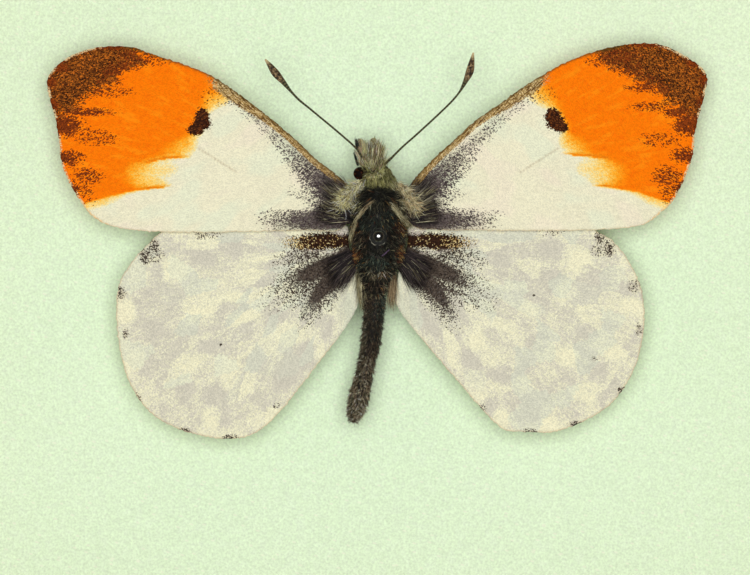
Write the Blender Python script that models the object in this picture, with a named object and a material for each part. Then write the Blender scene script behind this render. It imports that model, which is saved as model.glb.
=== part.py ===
"""A pinned and spread butterfly in a small, open-fronted wooden shadow-box frame.

The frame stands on its bottom rail and faces -Y. X runs to the right as seen from the front,
Z runs up, and the origin is under the middle of the frame. Lengths below are in millimetres.

Insect points are given as seen from the front: across and up from the pin, and a height, which
is the distance in front of the card.
"""

import math

import bmesh
import bpy
import numpy as np
from mathutils import Vector
from mathutils.geometry import delaunay_2d_cdt

MM = 0.001
WELD = 1e-7

# Frame: clear opening, the moulding's face, and how deep things lie behind the front.
OPENING_WIDE = 68.0
OPENING_HIGH = 56.0
RAIL_FACE = 8.0
RAIL_DEPTH = 24.0
CARD_BEHIND_FRONT = 12.0
REBATE = 3.0
OUTER_ROUND = 1.6
INNER_ROUND = 1.0
ARC_STEPS = 4
MITRE_GAP = 0.06

# Sheets that lie in the rebate, front to back.
CARD_THICK = 0.8
FOAM_THICK = 6.0
PANEL_THICK = 2.4
SHEET_GAP = 0.05
SHEET_CLEARANCE = 0.3

# Framer's points, thin steel strips pushed into the rails over the back panel.
POINT_LONG = 7.0
POINT_WIDE = 3.0
POINT_THICK = 0.5
POINT_IN_WOOD = 2.4
POINT_SPREAD = 20.0

# Sawtooth hanger on the back of the top rail.
HANGER_LONG = 26.0
HANGER_HIGH = 4.0
HANGER_THICK = 0.5
HANGER_RISE = 0.8
HANGER_TOOTH = 1.3
HANGER_TEETH = 9
HANGER_FLAT = 5.0
HANGER_RAMP = 1.5
NAIL_SHAFT = 0.8
NAIL_HEAD = 1.8
NAIL_HEAD_THICK = 0.35
NAIL_LONG = 5.0
NAIL_CROWN = 0.7
NAIL_RIM = 0.4

# Where the pin stands: to the right of the opening's middle and above it.
PIN_RIGHT = 0.24
PIN_ABOVE_MIDDLE = 3.48
PIN_SHAFT = 0.42
PIN_HEAD = 0.80
PIN_TOP = 7.6
PIN_POINT = 4.6
PIN_TAPER = 1.4
PIN_HEAD_TURNS = (22, 45, 68, 90, 115, 140)
HOLE_GAP = 0.06
OVERCUT = 1.0
SHARP_ANGLE = 35

# Wing sheets.
WING_THICK = 0.14
FOREWING_HEIGHT = 2.05
HINDWING_HEIGHT = 1.76
CAMBER = 0.34
CAMBER_REACH = 23.0
EDGE_STEP = 0.75
GRID_STEP = 1.7
EDGE_CLEAR = 0.9
ROOT_ACROSS = 2.0
ROOT_UP = 1.0

# Wing outlines. Each starts at the front of the root, runs out along the front edge to the tip,
# down the outer margin and back along the rear edge.
LEFT_FOREWING = [
    (-2.10, 3.50), (-2.95, 4.38), (-4.15, 5.31), (-6.30, 7.28), (-9.08, 9.50), (-11.75, 11.30),
    (-15.35, 12.62), (-17.55, 13.29), (-20.40, 13.02), (-21.90, 12.33), (-22.97, 11.21),
    (-23.05, 10.50), (-22.43, 8.10), (-22.21, 6.59), (-22.00, 5.05), (-21.47, 3.80),
    (-20.64, 2.43), (-19.97, 1.54), (-19.07, 0.98), (-16.75, 0.48), (-5.45, 0.50), (-2.45, 0.70),
]
RIGHT_FOREWING = [
    (2.10, 3.40), (3.22, 4.85), (4.08, 5.70), (5.26, 6.78), (6.41, 7.85), (7.52, 8.67),
    (8.68, 9.45), (9.88, 10.33), (13.43, 12.36), (17.00, 13.38), (19.46, 13.43), (20.83, 12.92),
    (22.70, 11.60), (22.88, 11.05), (22.34, 8.62), (22.00, 7.18), (21.80, 5.52), (20.49, 2.58),
    (19.62, 1.73), (18.61, 0.97), (15.50, 0.55), (6.30, 0.50), (4.00, 0.55), (2.45, 0.80),
]
LEFT_HINDWING = [
    (-2.20, 0.80), (-5.45, 1.10), (-13.10, 0.95), (-14.50, 0.75), (-15.76, -0.20),
    (-17.92, -2.93), (-18.20, -6.10), (-17.40, -9.95), (-15.80, -12.25), (-13.40, -13.50),
    (-10.70, -14.00), (-8.49, -13.56), (-4.31, -8.93), (-1.35, -4.35), (-1.70, -2.20),
    (-2.05, -0.60),
]
RIGHT_HINDWING = [
    (2.20, 0.80), (5.00, 1.10), (14.70, 0.75), (15.40, 0.30), (16.25, -0.20),
    (17.66, -2.04), (18.43, -4.17), (18.42, -6.71), (17.78, -9.20), (16.10, -11.65),
    (12.55, -13.45), (9.80, -13.50), (8.74, -13.36), (5.22, -9.65), (1.35, -4.85),
    (1.10, -4.10), (1.50, -2.20), (2.00, -0.60),
]

# Lofted forms: (across, up, height, half width, half depth) from one end to the other. Each end
# bulges by a share of its smaller half size.
END_BULGE = 0.5
THORAX = [
    (-0.10, 3.44, 2.50, 0.60, 0.70), (-0.06, 3.14, 2.45, 1.12, 1.20), (-0.02, 2.40, 2.42, 1.52, 1.50),
    (0.00, 1.00, 2.42, 1.78, 1.60), (0.00, -0.50, 2.40, 1.70, 1.58), (-0.08, -1.80, 2.32, 1.36, 1.40),
    (-0.18, -2.70, 2.20, 0.98, 1.15), (-0.24, -3.10, 2.12, 0.62, 0.72),
]
HEAD = [
    (-0.28, 5.14, 2.35, 0.45, 0.50), (-0.29, 4.90, 2.38, 0.84, 0.85), (-0.30, 4.50, 2.42, 1.00, 1.02),
    (-0.24, 4.20, 2.45, 0.88, 0.92), (-0.16, 4.00, 2.48, 0.40, 0.46),
]
ABDOMEN = [
    (-0.25, -3.78, 2.00, 0.55, 0.62), (-0.26, -4.35, 1.98, 0.78, 0.86), (-0.36, -5.74, 1.92, 0.72, 0.84),
    (-0.52, -7.13, 1.86, 0.69, 0.80), (-0.78, -8.53, 1.80, 0.60, 0.74), (-1.08, -9.92, 1.74, 0.64, 0.72),
    (-1.34, -11.00, 1.69, 0.74, 0.72), (-1.54, -11.95, 1.66, 0.64, 0.64), (-1.68, -12.50, 1.63, 0.42, 0.46),
    (-1.76, -12.86, 1.61, 0.18, 0.22),
]
LEFT_PALP = [
    (-0.98, 5.56, 2.30, 0.30, 0.34), (-1.08, 5.90, 2.28, 0.40, 0.44), (-1.20, 6.35, 2.26, 0.34, 0.38),
    (-1.32, 6.78, 2.24, 0.16, 0.18),
]
RIGHT_PALP = [
    (-0.08, 5.56, 2.30, 0.34, 0.38), (-0.14, 5.92, 2.30, 0.44, 0.46), (-0.26, 6.42, 2.28, 0.38, 0.40),
    (-0.38, 6.86, 2.26, 0.18, 0.20),
]
LEFT_TEGULA = [
    (-1.42, 3.72, 2.70, 0.18, 0.20), (-1.90, 3.22, 2.66, 0.38, 0.36), (-2.42, 2.50, 2.62, 0.42, 0.36),
    (-2.82, 1.90, 2.58, 0.16, 0.18),
]
RIGHT_TEGULA = [
    (1.24, 3.72, 2.70, 0.18, 0.20), (1.74, 3.20, 2.66, 0.38, 0.36), (2.30, 2.40, 2.62, 0.42, 0.36),
    (2.68, 1.70, 2.58, 0.16, 0.18),
]
EYE_RADIUS = 0.46
LEFT_EYE = (-1.28, 4.44, 2.42)
RIGHT_EYE = (0.45, 4.40, 2.42)

# Antennae: a thin shaft that swells into a flattened club.
SHAFT_HALF = 0.07
CLUB_HALF = 0.27
LEFT_ANTENNA = [
    (-0.80, 5.02, 3.24, 0.09, 0.09), (-1.06, 5.42, 3.30, 0.08, 0.08),
    (-1.56, 6.16, 3.30, SHAFT_HALF, SHAFT_HALF), (-2.45, 6.98, 3.28, SHAFT_HALF, SHAFT_HALF),
    (-4.75, 8.90, 3.22, SHAFT_HALF, SHAFT_HALF), (-5.52, 9.53, 3.19, 0.08, 0.08),
    (-6.06, 10.10, 3.16, 0.09, 0.09), (-6.60, 10.76, 3.13, 0.18, 0.15), (-7.12, 11.36, 3.11, CLUB_HALF, 0.18),
    (-7.55, 11.94, 3.09, 0.17, 0.14), (-7.84, 12.32, 3.08, 0.06, 0.06),
]
RIGHT_ANTENNA = [
    (0.42, 5.02, 3.24, 0.09, 0.09), (0.97, 5.56, 3.30, 0.08, 0.08),
    (1.61, 6.20, 3.30, SHAFT_HALF, SHAFT_HALF), (2.77, 7.23, 3.27, SHAFT_HALF, SHAFT_HALF),
    (5.08, 9.42, 3.20, SHAFT_HALF, SHAFT_HALF), (5.65, 10.12, 3.17, 0.08, 0.08),
    (6.00, 10.76, 3.13, 0.16, 0.14), (6.33, 11.50, 3.11, CLUB_HALF, 0.18),
    (6.46, 12.12, 3.09, 0.20, 0.15), (6.57, 12.78, 3.08, 0.06, 0.06),
]

# Legs, as seen from the front for the left side: hip, knee, ankle, toe. They are folded in the
# space between the thorax and the card.
LEG_HALF = 0.09
LEFT_LEGS = {
    "front": [(-0.45, 2.70, 0.86), (-0.95, 3.50, 0.62), (-0.35, 4.50, 0.42), (-0.20, 5.00, 0.30)],
    "middle": [(-0.60, 1.20, 0.74), (-2.10, 2.10, 0.70), (-2.90, 0.60, 0.42), (-2.30, -0.50, 0.30)],
    "rear": [(-0.50, -0.90, 0.76), (-1.90, -1.80, 0.66), (-1.50, -3.60, 0.42), (-2.00, -4.90, 0.30)],
}

# Planes of the frame, from its overall size.
DEPTH_ALL = RAIL_DEPTH + SHEET_GAP + HANGER_RISE + HANGER_THICK
FRONT_Y = -DEPTH_ALL / 2
CARD_Y = FRONT_Y + CARD_BEHIND_FRONT
BACK_Y = FRONT_Y + RAIL_DEPTH
OUTER_WIDE = OPENING_WIDE + 2 * RAIL_FACE
OUTER_HIGH = OPENING_HIGH + 2 * RAIL_FACE
MIDDLE_Z = OUTER_HIGH / 2
PIN_Z = MIDDLE_Z + PIN_ABOVE_MIDDLE


def clear_scene():
    for thing in list(bpy.data.objects):
        bpy.data.objects.remove(thing, do_unlink=True)


def material(name, colour, roughness, metallic=0.0):
    made = bpy.data.materials.new(name)
    made.use_nodes = True
    shader = made.node_tree.nodes["Principled BSDF"]
    shader.inputs["Base Color"].default_value = (*colour, 1.0)
    shader.inputs["Roughness"].default_value = roughness
    shader.inputs["Metallic"].default_value = metallic
    return made


def place(across, up, height):
    """An insect point in metres, from its place as seen from the front."""
    return Vector((PIN_RIGHT + across, CARD_Y - height, PIN_Z + up)) * MM


def add_object(name, bm, finish, smooth=True):
    bmesh.ops.remove_doubles(bm, verts=bm.verts, dist=WELD)
    bmesh.ops.recalc_face_normals(bm, faces=bm.faces)
    mesh = bpy.data.meshes.new(name)
    bm.to_mesh(mesh)
    bm.free()
    if smooth:
        mesh.shade_smooth()
        mesh.set_sharp_from_angle(angle=math.radians(SHARP_ANGLE))
    mesh.materials.append(finish)
    made = bpy.data.objects.new(name, mesh)
    bpy.context.scene.collection.objects.link(made)
    return made


def cut(target, cutter):
    """Takes the cutter's form out of the target and keeps the cutter out of sight."""
    cutter.hide_render = True
    cutter.display_type = "WIRE"
    tool = target.modifiers.new("cut " + cutter.name, "BOOLEAN")
    tool.operation = "DIFFERENCE"
    tool.solver = "EXACT"
    tool.object = cutter


def box(name, low, high, finish):
    """A block between two corners given in millimetres."""
    bm = bmesh.new()
    bmesh.ops.create_cube(bm, size=1.0)
    for vert in bm.verts:
        vert.co = Vector([(low[i] + (high[i] - low[i]) * (vert.co[i] + 0.5)) * MM for i in range(3)])
    return add_object(name, bm, finish, smooth=False)


def spline_point(points, i, share, closed):
    """A point on the centripetal Catmull-Rom curve between points i and i + 1."""
    count = len(points)
    index = [k % count if closed else min(max(k, 0), count - 1) for k in (i - 1, i, i + 1, i + 2)]
    p0, p1, p2, p3 = [np.array(points[k], dtype=float) for k in index]
    if not closed and i == 0:
        p0 = 2 * p1 - p2
    if not closed and i + 2 >= count:
        p3 = 2 * p2 - p1
    d1, d2, d3 = [np.linalg.norm((b - a)[:3]) ** 0.5 for a, b in ((p0, p1), (p1, p2), (p2, p3))]
    pull_1 = 2 * d1 ** 2 + 3 * d1 * d2 + d2 ** 2
    pull_2 = 2 * d3 ** 2 + 3 * d3 * d2 + d2 ** 2
    near_1 = (p2 * d1 ** 2 - p0 * d2 ** 2 + p1 * pull_1) / (3 * d1 * (d1 + d2))
    near_2 = (p1 * d3 ** 2 - p3 * d2 ** 2 + p2 * pull_2) / (3 * d3 * (d3 + d2))
    rest = 1 - share
    first = p1 * rest ** 3 + near_1 * 3 * rest ** 2 * share
    return first + near_2 * 3 * rest * share ** 2 + p2 * share ** 3


def closed_curve(points, step):
    """The smooth closed outline through the points, with a point about every step."""
    found = []
    for i, point in enumerate(points):
        span = math.dist(points[(i + 1) % len(points)], point)
        count = max(2, round(span / step))
        found += [Vector(spline_point(points, i, k / count, True)) for k in range(count)]
    return found


def camber(across, up):
    """How far the wing sheets arch towards the viewer between the root and the tip."""
    reach = math.hypot(abs(across) - ROOT_ACROSS, up - ROOT_UP) / CAMBER_REACH
    return CAMBER * math.sin(math.pi * min(reach, 1.0))


def wing(name, outline, height, finish):
    """A thin sheet inside the outline, gently arched, with a grid of points within its edge."""
    edge = closed_curve(outline, EDGE_STEP)
    points = list(edge)
    low = [min(p[i] for p in edge) for i in range(2)]
    high = [max(p[i] for p in edge) for i in range(2)]
    row_step = GRID_STEP * math.sqrt(0.75)
    for row in range(1, int((high[1] - low[1]) / row_step) + 1):
        for col in range(int((high[0] - low[0]) / GRID_STEP) + 1):
            spot = Vector((low[0] + (col + 0.5 * (row % 2)) * GRID_STEP, low[1] + row * row_step))
            if min((spot - p).length for p in edge) > EDGE_CLEAR:
                points.append(spot)
    rim = [(i, (i + 1) % len(edge)) for i in range(len(edge))]
    verts, _, faces, _, _, _ = delaunay_2d_cdt(points, rim, [], 1, WELD)
    bm = bmesh.new()
    front = [bm.verts.new(place(v.x, v.y, height + camber(v.x, v.y) + WING_THICK / 2)) for v in verts]
    back = [bm.verts.new(place(v.x, v.y, height + camber(v.x, v.y) - WING_THICK / 2)) for v in verts]
    for face in faces:
        bm.faces.new([front[k] for k in face])
        bm.faces.new([back[k] for k in reversed(face)])
    loose = [pair for pair in bm.edges if len(pair.link_faces) == 1]
    partner = {a: b for a, b in zip(front, back)}
    for side in loose:
        a, b = side.verts
        if a in partner:
            bm.faces.new((a, b, partner[b], partner[a]))
    bmesh.ops.delete(bm, geom=[v for v in bm.verts if not v.link_faces], context="VERTS")
    return add_object(name, bm, finish)


def loft(name, stations, finish, sides=16, rings_each=2):
    """A closed form of elliptical rings along a smooth path, with a point at each end."""
    rows = []
    for i in range(len(stations) - 1):
        rows += [spline_point(stations, i, k / rings_each, False) for k in range(rings_each)]
    rows.append(stations[-1])
    centres = [place(*row[:3]) for row in rows]
    bm = bmesh.new()
    rings = []
    for i, row in enumerate(rows):
        along = (centres[min(i + 1, len(rows) - 1)] - centres[max(i - 1, 0)]).normalized()
        wide = along.cross(Vector((0, 1, 0))).normalized()
        deep = wide.cross(along)
        turn = [2 * math.pi * k / sides for k in range(sides)]
        wide *= row[3] * MM
        deep *= row[4] * MM
        rings.append([bm.verts.new(centres[i] + wide * math.cos(a) + deep * math.sin(a)) for a in turn])
    for one, two in zip(rings, rings[1:]):
        for k in range(sides):
            bm.faces.new((one[k], one[(k + 1) % sides], two[(k + 1) % sides], two[k]))
    for ring, centre, inner, row in ((rings[0], centres[0], centres[1], rows[0]),
                                     (rings[-1], centres[-1], centres[-2], rows[-1])):
        bulge = (centre - inner).normalized() * min(row[3], row[4]) * MM * END_BULGE
        pole = bm.verts.new(centre + bulge)
        for k in range(sides):
            bm.faces.new((ring[k], ring[(k + 1) % sides], pole))
    return add_object(name, bm, finish)


def ball(name, centre, radius, finish):
    bm = bmesh.new()
    bmesh.ops.create_uvsphere(bm, u_segments=14, v_segments=9, radius=radius * MM)
    bmesh.ops.translate(bm, verts=bm.verts, vec=place(*centre))
    return add_object(name, bm, finish)


def turned(name, profile, axis_place, sides, finish):
    """A turned piece about a Y axis. The profile is (radius, y) from front to back, in mm."""
    bm = bmesh.new()
    rings = []
    for radius, y in profile:
        if radius == 0:
            rings.append([bm.verts.new(Vector((axis_place[0], y, axis_place[1])) * MM)])
            continue
        turn = [2 * math.pi * k / sides for k in range(sides)]
        rings.append([bm.verts.new(Vector((axis_place[0] + radius * math.cos(a), y,
                                           axis_place[1] + radius * math.sin(a))) * MM) for a in turn])
    for one, two in zip(rings, rings[1:]):
        for k in range(sides):
            corners = [one[k % len(one)], one[(k + 1) % len(one)], two[(k + 1) % len(two)], two[k % len(two)]]
            bm.faces.new(list(dict.fromkeys(corners)))
    return add_object(name, bm, finish)


def rod_cutter(name, centre, diameter, front, back):
    """A straight round cutter along Y, between two depths."""
    profile = [(0, front), (diameter / 2, front), (diameter / 2, back), (0, back)]
    return turned(name, profile, centre, 16, finish_of["steel"])


def quarter(middle, radius, start):
    """Points on a quarter circle, turning clockwise from the start angle in degrees."""
    turns = [math.radians(start - 90 * step / ARC_STEPS) for step in range(ARC_STEPS + 1)]
    return [(middle[0] + radius * math.cos(a), middle[1] - radius * math.sin(a)) for a in turns]


def rail_section():
    """The moulding's section: (out from the opening, back from the front), with round front edges."""
    inner = quarter((INNER_ROUND, INNER_ROUND), INNER_ROUND, 180)
    outer = quarter((RAIL_FACE - OUTER_ROUND, OUTER_ROUND), OUTER_ROUND, 90)
    back = [(RAIL_FACE, RAIL_DEPTH), (REBATE, RAIL_DEPTH)]
    seat = [(REBATE, CARD_BEHIND_FRONT), (0.0, CARD_BEHIND_FRONT)]
    return inner + outer + back + seat


def rail(name, along_x, side, finish):
    """One mitred rail. side is 1 for the top or right rail and -1 for the bottom or left one."""
    half_run = (OPENING_WIDE if along_x else OPENING_HIGH) / 2
    half_gap = (OPENING_HIGH if along_x else OPENING_WIDE) / 2
    bm = bmesh.new()
    ends = []
    for end in (-1, 1):
        ring = []
        for out, back in rail_section():
            run = end * (half_run + out - MITRE_GAP / 2)
            away = side * (half_gap + out)
            flat = (run, away) if along_x else (away, run)
            ring.append(bm.verts.new(Vector((flat[0], FRONT_Y + back, MIDDLE_Z + flat[1])) * MM))
        ends.append(ring)
    count = len(ends[0])
    for k in range(count):
        bm.faces.new((ends[0][k], ends[0][(k + 1) % count], ends[1][(k + 1) % count], ends[1][k]))
    bm.faces.new(ends[0])
    bm.faces.new(ends[1])
    return add_object(name, bm, finish)


def sheet(name, front, thick, finish):
    """A flat sheet that lies in the rebate."""
    half_wide = OPENING_WIDE / 2 + REBATE - SHEET_CLEARANCE
    half_high = OPENING_HIGH / 2 + REBATE - SHEET_CLEARANCE
    low = (-half_wide, front, MIDDLE_Z - half_high)
    high = (half_wide, front + thick, MIDDLE_Z + half_high)
    return box(name, low, high, finish)


def build_frame():
    rails = {
        "top": rail("frame_top", True, 1, finish_of["wood"]),
        "bottom": rail("frame_bottom", True, -1, finish_of["wood"]),
        "left": rail("frame_left", False, -1, finish_of["wood"]),
        "right": rail("frame_right", False, 1, finish_of["wood"]),
    }
    card = sheet("backing_card", CARD_Y + SHEET_GAP, CARD_THICK, finish_of["card"])
    foam_front = CARD_Y + CARD_THICK + 2 * SHEET_GAP
    foam = sheet("foam_board", foam_front, FOAM_THICK, finish_of["foam"])
    panel_front = foam_front + FOAM_THICK + SHEET_GAP
    sheet("back_panel", panel_front, PANEL_THICK, finish_of["hardboard"])
    build_points(rails, panel_front + PANEL_THICK + SHEET_GAP)
    build_hanger(rails["top"])
    return card, foam


def build_points(rails, front):
    """Two framer's points in the top and the bottom rail, and one in each upright."""
    half_high = OPENING_HIGH / 2 + REBATE
    half_wide = OPENING_WIDE / 2 + REBATE
    spots = [("top", (x, half_high)) for x in (-POINT_SPREAD, POINT_SPREAD)]
    spots += [("bottom", (x, -half_high)) for x in (-POINT_SPREAD, POINT_SPREAD)]
    spots += [("left", (-half_wide, 0.0)), ("right", (half_wide, 0.0))]
    for number, (where, (x, up)) in enumerate(spots, 1):
        side = 1 if where in ("top", "right") else -1
        reach = sorted((-side * (POINT_LONG - POINT_IN_WOOD), side * POINT_IN_WOOD))
        half = (-POINT_WIDE / 2, POINT_WIDE / 2)
        across, along = (half, reach) if where in ("top", "bottom") else (reach, half)
        low = (x + across[0], front, MIDDLE_Z + up + along[0])
        high = (x + across[1], front + POINT_THICK, MIDDLE_Z + up + along[1])
        box(f"framers_point_{number}", low, high, finish_of["steel"])
        slot_low = [v - SHEET_GAP for v in low]
        slot_high = [v + SHEET_GAP for v in high]
        cut(rails[where], box(f"slot_{number}", slot_low, slot_high, finish_of["steel"]))


def build_hanger(top_rail):
    """A strip with a toothed lower edge, bowed off the wood in its middle, and its two nails."""
    front = BACK_Y + SHEET_GAP
    middle = OUTER_HIGH - (RAIL_FACE - REBATE) / 2
    half = HANGER_LONG / 2
    toothed = half - HANGER_FLAT - HANGER_RAMP
    edges = [(-half, 0.0), (-half + HANGER_FLAT, 0.0)]
    for step in range(2 * HANGER_TEETH + 1):
        x = -toothed + toothed * step / HANGER_TEETH
        edges.append((x, HANGER_TOOTH if step % 2 else 0.0))
    edges += [(half - HANGER_FLAT, 0.0), (half, 0.0)]
    bm = bmesh.new()
    columns = []
    for x, bite in edges:
        lift = HANGER_RISE * min(1.0, max(0.0, (half - HANGER_FLAT - abs(x)) / HANGER_RAMP))
        y = front + lift
        low = middle - HANGER_HIGH / 2 + bite
        high = middle + HANGER_HIGH / 2
        corners = ((x, y, low), (x, y, high), (x, y + HANGER_THICK, high), (x, y + HANGER_THICK, low))
        columns.append([bm.verts.new(Vector(c) * MM) for c in corners])
    for one, two in zip(columns, columns[1:]):
        for k in range(4):
            bm.faces.new((one[k], one[(k + 1) % 4], two[(k + 1) % 4], two[k]))
    bm.faces.new(columns[0])
    bm.faces.new(columns[-1])
    hanger = add_object("hanger", bm, finish_of["brass"], smooth=False)
    for number, side in enumerate((-1, 1), 1):
        centre = (side * (half - HANGER_FLAT / 2), middle)
        seat = front + HANGER_THICK + SHEET_GAP
        r_head, r_shaft = NAIL_HEAD / 2, NAIL_SHAFT / 2
        profile = [(0, seat + NAIL_HEAD_THICK), (r_head * NAIL_CROWN, seat + NAIL_HEAD_THICK),
                   (r_head, seat + NAIL_HEAD_THICK * NAIL_RIM), (r_head, seat), (r_shaft, seat),
                   (r_shaft, seat - NAIL_LONG + r_shaft), (0, seat - NAIL_LONG)]
        turned(f"hanger_nail_{number}", profile, centre, 12, finish_of["steel"])
        hole = rod_cutter(f"nail_hole_{number}", centre, NAIL_SHAFT + 2 * HOLE_GAP,
                          seat - NAIL_LONG - HOLE_GAP, seat + OVERCUT)
        cut(hanger, hole)
        cut(top_rail, hole)


def build_pin(thorax, card, foam):
    """The pin through the thorax and the card into the foam, with a hole for it in each."""
    r_head, r_shaft = PIN_HEAD / 2, PIN_SHAFT / 2
    top = CARD_Y - PIN_TOP
    middle = top + r_head
    profile = [(0, top)]
    for degrees in PIN_HEAD_TURNS:
        turn = math.radians(degrees)
        profile.append((r_head * math.sin(turn), middle - r_head * math.cos(turn)))
    tip = CARD_Y + PIN_POINT
    profile += [(r_shaft, middle + r_head), (r_shaft, tip - PIN_TAPER), (0, tip)]
    axis = (PIN_RIGHT, PIN_Z)
    turned("insect_pin", profile, axis, 14, finish_of["pin"])
    hole = PIN_SHAFT + 2 * HOLE_GAP
    card_back = CARD_Y + SHEET_GAP + CARD_THICK
    spans = ((thorax, CARD_Y - PIN_TOP, CARD_Y), (card, CARD_Y - OVERCUT, card_back + OVERCUT),
             (foam, CARD_Y, tip + HOLE_GAP))
    for target, front, back in spans:
        cut(target, rod_cutter("pin_hole_" + target.name, axis, hole, front, back))


def build_legs():
    for side_name, side in (("left", 1), ("right", -1)):
        for leg_name, joints in LEFT_LEGS.items():
            path = [(side * x, up, height, LEG_HALF, LEG_HALF) for x, up, height in joints]
            loft(f"leg_{leg_name}_{side_name}", path, finish_of["leg"], sides=8, rings_each=2)


def build_insect():
    thorax = loft("thorax", THORAX, finish_of["body"], sides=24, rings_each=3)
    head = loft("head", HEAD, finish_of["body"], sides=20, rings_each=3)
    loft("abdomen", ABDOMEN, finish_of["body"], sides=18, rings_each=3)
    for side, centre in (("left", LEFT_EYE), ("right", RIGHT_EYE)):
        ball(f"eye_{side}", centre, EYE_RADIUS, finish_of["eye"])
        cut(head, ball(f"socket_{side}", centre, EYE_RADIUS + HOLE_GAP, finish_of["eye"]))
    loft("palp_left", LEFT_PALP, finish_of["hair"], sides=12, rings_each=3)
    loft("palp_right", RIGHT_PALP, finish_of["hair"], sides=12, rings_each=3)
    loft("tegula_left", LEFT_TEGULA, finish_of["pale hair"], sides=12, rings_each=3)
    loft("tegula_right", RIGHT_TEGULA, finish_of["pale hair"], sides=12, rings_each=3)
    loft("antenna_left", LEFT_ANTENNA, finish_of["antenna"], sides=8, rings_each=2)
    loft("antenna_right", RIGHT_ANTENNA, finish_of["antenna"], sides=8, rings_each=2)
    wing("forewing_left", LEFT_FOREWING, FOREWING_HEIGHT, finish_of["forewing"])
    wing("forewing_right", RIGHT_FOREWING, FOREWING_HEIGHT, finish_of["forewing"])
    wing("hindwing_left", LEFT_HINDWING, HINDWING_HEIGHT, finish_of["hindwing"])
    wing("hindwing_right", RIGHT_HINDWING, HINDWING_HEIGHT, finish_of["hindwing"])
    build_legs()
    return thorax


clear_scene()
finish_of = {
    "wood": material("pale oak", (0.56, 0.38, 0.21), 0.5),
    "card": material("pale green card", (0.75, 0.89, 0.60), 0.9),
    "foam": material("white foam", (0.86, 0.86, 0.84), 0.8),
    "hardboard": material("hardboard", (0.24, 0.14, 0.07), 0.75),
    "steel": material("dull steel", (0.45, 0.45, 0.46), 0.4, 1.0),
    "brass": material("brassed steel", (0.70, 0.53, 0.25), 0.35, 1.0),
    "pin": material("black pin", (0.02, 0.02, 0.022), 0.2),
    "body": material("dark hair", (0.05, 0.045, 0.035), 0.8),
    "hair": material("grey hair", (0.20, 0.18, 0.13), 0.8),
    "pale hair": material("cream hair", (0.45, 0.41, 0.26), 0.8),
    "eye": material("dark eye", (0.045, 0.010, 0.006), 0.2),
    "antenna": material("banded shaft", (0.10, 0.08, 0.06), 0.6),
    "forewing": material("orange wing", (1.0, 0.20, 0.01), 0.7),
    "hindwing": material("cream wing", (0.76, 0.73, 0.60), 0.75),
    "leg": material("leg", (0.12, 0.10, 0.07), 0.6),
}
card_sheet, foam_sheet = build_frame()
build_pin(build_insect(), card_sheet, foam_sheet)
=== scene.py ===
"""Looks of a spread orange-tip butterfly, pinned on pale green card in a shadow-box frame.

Insect points are (across, up, height) in millimetres from the pin, as seen from the front, where
height is the distance in front of the card.
"""

import math

import bpy
import numpy as np
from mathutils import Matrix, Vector
from mathutils.geometry import delaunay_2d_cdt


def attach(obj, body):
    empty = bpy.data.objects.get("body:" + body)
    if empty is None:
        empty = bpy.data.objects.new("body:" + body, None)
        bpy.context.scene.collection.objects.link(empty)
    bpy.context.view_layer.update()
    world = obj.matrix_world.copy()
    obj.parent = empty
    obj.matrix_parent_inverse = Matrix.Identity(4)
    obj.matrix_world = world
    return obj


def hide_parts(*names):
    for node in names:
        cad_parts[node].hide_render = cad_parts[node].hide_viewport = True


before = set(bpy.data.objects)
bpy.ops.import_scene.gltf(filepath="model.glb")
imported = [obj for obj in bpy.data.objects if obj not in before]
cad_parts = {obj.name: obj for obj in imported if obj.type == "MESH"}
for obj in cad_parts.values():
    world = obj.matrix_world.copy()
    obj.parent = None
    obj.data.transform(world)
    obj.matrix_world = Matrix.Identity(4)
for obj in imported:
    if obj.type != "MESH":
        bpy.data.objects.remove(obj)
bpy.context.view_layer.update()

MM = 0.001
SEED = 11

# Planes of the frame and the place of the pin.
CARD_Y = -0.675
MIDDLE_Z = 36.0
PIN_RIGHT = 0.24
PIN_Z = 39.48

# Camera and light.
VIEW_WIDE = 52.2
CAMERA_AWAY = 246.0
FOCUS_HEIGHT = 2.0
SENSOR = 36.0
LIGHT_AWAY = 400.0
LIGHT_WIDE = 440.0
LIGHT_WATTS = 1.78
LIGHT_LIFT = 12.0
FLOOR_WIDE = 900.0

# Wing sheets.
FOREWING_HEIGHT = 2.05
HINDWING_HEIGHT = 1.76
WING_HALF = 0.07
CAMBER = 0.34
CAMBER_REACH = 23.0
WING_STEP = 0.135
RIM_STEP = 0.13
VEIN_RISE = 0.03
VEIN_HALF = 0.11
FOREWING_ROOT = (2.0, 2.4)
HINDWING_ROOT = (1.8, -0.4)
RAY_RADIUS = 12.0
RAY_SHIFT = 40.0
RIM_ROUGH = 0.022
RIM_THIN = 0.35
GRID_ROUGH = 0.012
GRID_INSET = 0.09
WAVE_RISE = 0.02
# How far the rows of scales are turned, on the right side.
FOREWING_TURN = 0.45
HINDWING_TURN = -0.6

# Numbers of hairs. A hair's sides are angles round it, and its rings are (share of its length, share of
# its radius).
THORAX_HAIRS = 9000
HEAD_HAIRS = 4200
ABDOMEN_HAIRS = 7500
PALP_HAIRS = 1300
TEGULA_HAIRS = 1500
HAIR_SIDES = (0.0, 2.094, 4.189)
HAIR_RINGS = ((0.0, 0.9), (0.36, 1.0), (0.72, 0.66))

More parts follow.
